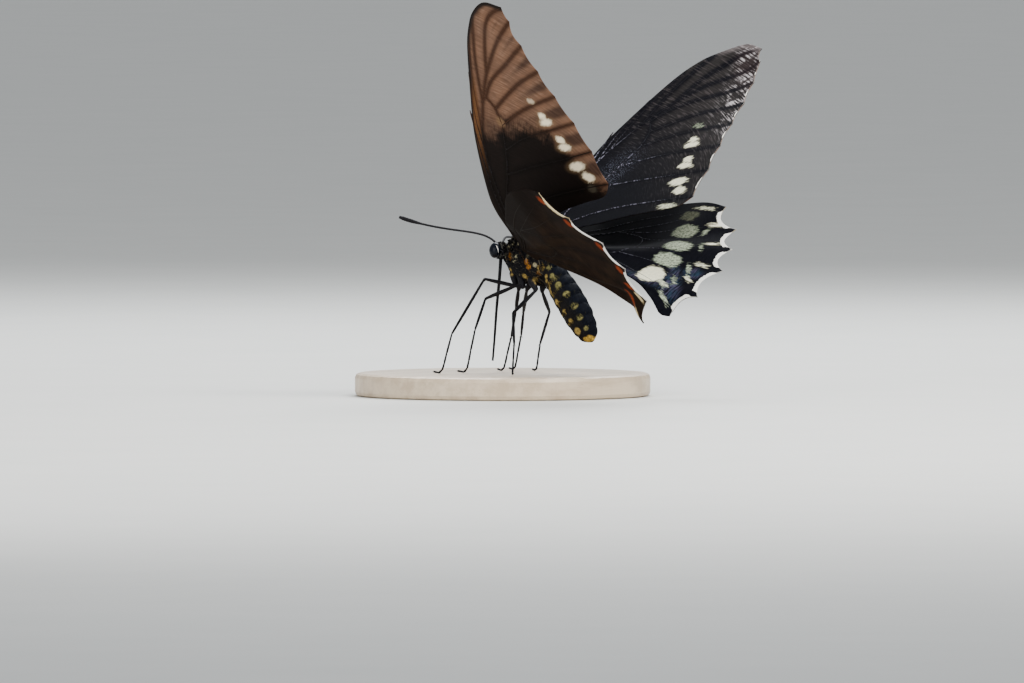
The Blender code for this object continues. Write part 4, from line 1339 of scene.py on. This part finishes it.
def rod_piece(name, rods, finish, replaces, sides=10):
    """Rods of the animal's own axes, in millimetres, as one piece."""
    bm = bmesh.new()
    for points, radii in rods:
        add_rod(bm, points, radii, sides)
    own = np.array([vert.co for vert in bm.verts])
    bm.transform(BODY @ Matrix.Scale(MM, 4))
    bmesh.ops.recalc_face_normals(bm, faces=bm.faces)
    piece = add_piece(name, bm, [finish], replaces)
    set_paint(piece.data, body_paint(own, bpy.context.scene.swallowtail_body))
    return piece


class SWALLOWTAIL_OT_feelers(bpy.types.Operator):
    """Builds the ringed antennae and the two-part proboscis."""

    bl_idname = "swallowtail.feelers"
    bl_label = "Build feelers"

    def execute(self, context):
        finish = limb_material("antenna")
        for side, sign in SIDES:
            rods = [self.antenna(sign, math.radians(ANTENNA_SPREAD[side])), self.socket(sign)]
            rod_piece(f"antenna_{side}_ringed", rods, finish, [f"antenna_{side}"], 12)
        halves = [self.proboscis_half(sign) for _, sign in SIDES]
        rod_piece("proboscis_ringed", halves, limb_material("proboscis"), ["proboscis"])
        return {"FINISHED"}

    def antenna(self, sign, spread):
        """The ringed rod, which rises, runs level and lifts again to its club."""
        points, radii = [], []
        steps = ANTENNA_RINGS * 3
        for k in range(steps + 1):
            t = k / steps
            s = ANTENNA_REACH * t
            height = 1.9 * (1 - math.exp(-s / 1.8)) + 1.6 * (s / 17) ** 3
            x = sign * (ANTENNA_ROOT[0] + math.sin(spread) * s)
            points.append(Vector((x, ANTENNA_ROOT[1] - math.cos(spread) * s, ANTENNA_ROOT[2] + height)))
            club = float(ease(0.74, 0.9, t)) * (1 - 0.65 * float(ease(0.95, 1.0, t)))
            ring = 1.08 if k % 3 else 0.9
            radii.append((0.19 + 0.17 * club) * ring)
        return points, radii

    def socket(self, sign):
        """A small ball at the antenna's root."""
        x, y, z = ANTENNA_ROOT
        middle = Vector((sign * x, y, z))
        turns = [math.radians(a) for a in range(-80, 81, 20)]
        points = [middle + Vector((0, 0, SOCKET_RADIUS * math.sin(turn))) for turn in turns]
        return points, [SOCKET_RADIUS * math.cos(turn) for turn in turns]

    def proboscis_half(self, sign):
        """One of the tube's two ringed halves, which thins towards its tip."""
        line = smooth_curve(PROBOSCIS_POINTS, 0.16)
        points, radii = [], []
        for i, point in enumerate(line):
            radius = 0.2 - 0.08 * i / (len(line) - 1)
            points.append(point + Vector((sign * radius * 0.8, 0, 0)))
            radii.append(radius * (1.05 if i % 2 else 0.97))
        return points, radii


def on_base(x, y, height):
    """The point over (x, y) of the body's own axes that lies at the height over the foot level."""
    low = BODY @ Vector((x * MM, y * MM, 0))
    drop = (low.z / MM - FOOT_LEVEL - height) / BODY.to_3x3().col[2].z
    return Vector((x, y, -drop))


def limb_part(start, end, first, middle, last, count=12):
    """A rod from start to end whose radius swells from first over middle to last."""
    pull = 2 * middle - (first + last) / 2
    points, radii = [], []
    for k in range(count + 1):
        t = k / count
        points.append(start.lerp(end, t))
        radii.append((1 - t) ** 2 * first + 2 * t * (1 - t) * pull + t**2 * last)
    return points, radii


def spike(root, direction, length, radius):
    """A rod that narrows to a point."""
    direction = direction.normalized()
    points = [root, root + direction * length * 0.5, root + direction * length]
    return points, [radius, radius * 0.6, radius * 0.08]


def leg_rods(joints, draw):
    """Hip, thigh, shin and a foot of five joints, with spines, spurs and claws."""
    hip, bend, knee, ankle = (Vector(p) for p in joints[:4])
    toe = Vector((*joints[4], 0))
    reach = (toe - Vector((ankle.x, ankle.y, 0))).normalized()
    heel = toe - reach * TOE_LENGTH
    heel = on_base(heel.x, heel.y, 0.12)
    tip = on_base(toe.x, toe.y, 0.09)
    rods = [
        limb_part(hip, bend, 0.55, 0.6, 0.4),
        limb_part(bend.lerp(hip, 0.05), bend.lerp(knee, 0.1), 0.36, 0.34, 0.24, 6),
        limb_part(bend.lerp(knee, 0.07), knee, 0.24, 0.37, 0.23),
        limb_part(knee.lerp(bend, 0.02), knee.lerp(ankle, 0.04), 0.24, 0.25, 0.21, 4),
        limb_part(knee, ankle, 0.2, 0.26, 0.19),
    ]
    foot = smooth_curve([ankle, ankle.lerp(heel, 0.5) + Vector((0, 0, -0.15)), heel, tip], 0.1)
    for start, end in zip(FOOT_JOINTS, FOOT_JOINTS[1:]):
        first, last = (foot[round(t * (len(foot) - 1))] for t in (start, end))
        rods.append(limb_part(first, last, 0.14, 0.18, 0.185, 6))
    down = (ankle - knee).normalized()
    for k in range(14):
        around = Vector(draw.normal(size=3)).cross(down).normalized()
        rods.append(spike(knee.lerp(ankle, 0.1 + 0.06 * k), down + around * 0.8, 0.42, 0.035))
    for sign in (1, -1):
        side = down.cross(Vector((0, 0, 1))).normalized() * sign
        rods.append(spike(ankle, down + side * 0.55, 0.85, 0.06))
        rods.append(spike(tip, reach + side * 0.5, 0.3, 0.045))
    for k in range(12):
        point = foot[round((0.05 + 0.07 * k) * (len(foot) - 1))]
        around = Vector(draw.normal(size=3)).cross(reach).normalized()
        if (BODY.to_3x3() @ around).z < -0.2:
            around = -around
        rods.append(spike(point, reach * 0.7 - Vector((0, 0, 0.1)) + around * 0.5, 0.24, 0.025))
    return rods


class SWALLOWTAIL_OT_legs(bpy.types.Operator):
    """Builds the six jointed legs."""

    bl_idname = "swallowtail.legs"
    bl_label = "Build legs"

    def execute(self, context):
        finish = limb_material("leg")
        draw = np.random.default_rng(11)
        for name, joints in LEGS.items():
            rod_piece(name + "_jointed", leg_rods(joints, draw), finish, [name])
        return {"FINISHED"}


class SWALLOWTAIL_OT_base(bpy.types.Operator):
    """Gives the base its pale satin wood."""

    bl_idname = "swallowtail.base"
    bl_label = "Finish base"

    def execute(self, context):
        settings = context.scene.swallowtail_body
        look = Look("pale_wood", Coat_Weight=0.15, Coat_Roughness=0.3)
        stretched = look.stretched(look.place(), (1.0, 9.0, 9.0))
        rings = look.noise(stretched, 42.0, 4.0, 0.6)
        pores = look.noise(look.stretched(look.place(), (1.0, 26.0, 26.0)), 160.0, 3.0)
        dark = look.mix(0.35, settings.wood, (0.25, 0.15, 0.08))
        colour = look.mix(look.step(rings, 0.35, 0.65), dark, settings.wood)
        colour = look.over(colour, (0.24, 0.15, 0.08), look.step(pores, 0.62, 0.75), 0.4)
        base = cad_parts["stand_base"]
        base.data.materials.clear()
        base.data.materials.append(look.finish(colour, 0.42, look.bump(pores, 0.04 * MM)))
        return {"FINISHED"}


def add_light(name, place, target, size, power, colour):
    """A soft square light that faces the target."""
    light = bpy.data.lights.new(name, "AREA")
    light.size = size
    light.energy = power
    light.color = colour
    lamp = add_object(name, light)
    lamp.location = place
    lamp.rotation_euler = (Vector(target) - Vector(place)).to_track_quat("-Z", "Y").to_euler()


class SWALLOWTAIL_OT_stage(bpy.types.Operator):
    """Makes the floor, the lights and the camera."""

    bl_idname = "swallowtail.stage"
    bl_label = "Build stage"

    def execute(self, context):
        settings = context.scene.swallowtail_stage
        bm = bmesh.new()
        bmesh.ops.create_grid(bm, x_segments=2, y_segments=2, size=12.0)
        mesh = bpy.data.meshes.new("floor")
        bm.to_mesh(mesh)
        bm.free()
        look = Look("pale_floor")
        mottle = look.noise(look.place(), 40.0, 4.0)
        colour = look.mix(mottle, (0.60, 0.61, 0.59), (0.66, 0.66, 0.64))
        mesh.materials.append(look.finish(colour, 0.7, look.bump(mottle, 0.05 * MM)))
        floor = add_object("floor", mesh)
        world = bpy.data.worlds.new("studio")
        world.use_nodes = True
        world.node_tree.nodes["Background"].inputs["Color"].default_value = (0.86, 0.89, 0.92, 1)
        world.node_tree.nodes["Background"].inputs["Strength"].default_value = 0.7
        context.scene.world = world
        self.add_camera(context, settings)
        middle = (0, 0, 0.04)
        turn = settings.azimuth
        to_camera = Vector((math.sin(turn), -math.cos(turn), 0))
        right = Vector((math.cos(turn), math.sin(turn), 0))
        up = Vector((0, 0, 1))
        for name, nearer, across, higher, size, power, colour in LIGHTS:
            place = nearer * to_camera + across * right + higher * up
            add_light(name, place, middle, size, power, colour)
        return {"FINISHED"}

    def add_camera(self, context, settings):
        """The camera, at its distance from the body and aimed by it."""
        turn, rise = settings.azimuth, settings.elevation
        right = Vector((math.cos(turn), math.sin(turn), 0))
        view = Vector((-math.sin(turn) * math.cos(rise), math.cos(turn) * math.cos(rise), -math.sin(rise)))
        up = right.cross(view)
        target = BODY.translation + right * AIM_RIGHT + up * AIM_UP
        camera = bpy.data.cameras.new("camera")
        camera.lens = settings.lens
        camera.sensor_width = 36
        camera.clip_start = 1.0
        camera.clip_end = 20.0
        holder = add_object("camera", camera)
        holder.location = target - view * settings.distance
        holder.rotation_euler = view.to_track_quat("-Z", "Y").to_euler()
        context.scene.camera = holder


class SWALLOWTAIL_PT_panel(bpy.types.Panel):
    """Sizes, colours and a button for each group of pieces."""

    bl_idname = "SWALLOWTAIL_PT_panel"
    bl_label = "Swallowtail"
    bl_space_type = "VIEW_3D"
    bl_region_type = "UI"
    bl_category = "Swallowtail"

    def draw(self, context):
        for operator in OPERATORS:
            self.layout.operator(operator.bl_idname)
        for group in SETTINGS:
            settings = getattr(context.scene, group)
            for name in settings.bl_rna.properties.keys():
                if name not in ("rna_type", "name"):
                    self.layout.prop(settings, name)


OPERATORS = (
    SWALLOWTAIL_OT_wings,
    SWALLOWTAIL_OT_body,
    SWALLOWTAIL_OT_eyes,
    SWALLOWTAIL_OT_feelers,
    SWALLOWTAIL_OT_legs,
    SWALLOWTAIL_OT_base,
    SWALLOWTAIL_OT_stage,
)
SETTINGS = {
    "swallowtail_wings": WingSettings,
    "swallowtail_body": BodySettings,
    "swallowtail_stage": StageSettings,
}


def register():
    for group in SETTINGS.values():
        bpy.utils.register_class(group)
    for group, settings in SETTINGS.items():
        setattr(bpy.types.Scene, group, PointerProperty(type=settings))
    for shown in (*OPERATORS, SWALLOWTAIL_PT_panel):
        bpy.utils.register_class(shown)


def unregister():
    for shown in (*OPERATORS, SWALLOWTAIL_PT_panel):
        bpy.utils.unregister_class(shown)
    for group, settings in SETTINGS.items():
        delattr(bpy.types.Scene, group)
        bpy.utils.unregister_class(settings)


def main():
    """Builds every group of pieces."""
    register()
    bpy.ops.swallowtail.wings()
    bpy.ops.swallowtail.body()
    bpy.ops.swallowtail.eyes()
    bpy.ops.swallowtail.feelers()
    bpy.ops.swallowtail.legs()
    bpy.ops.swallowtail.base()
    bpy.ops.swallowtail.stage()


if __name__ == "__main__":
    main()
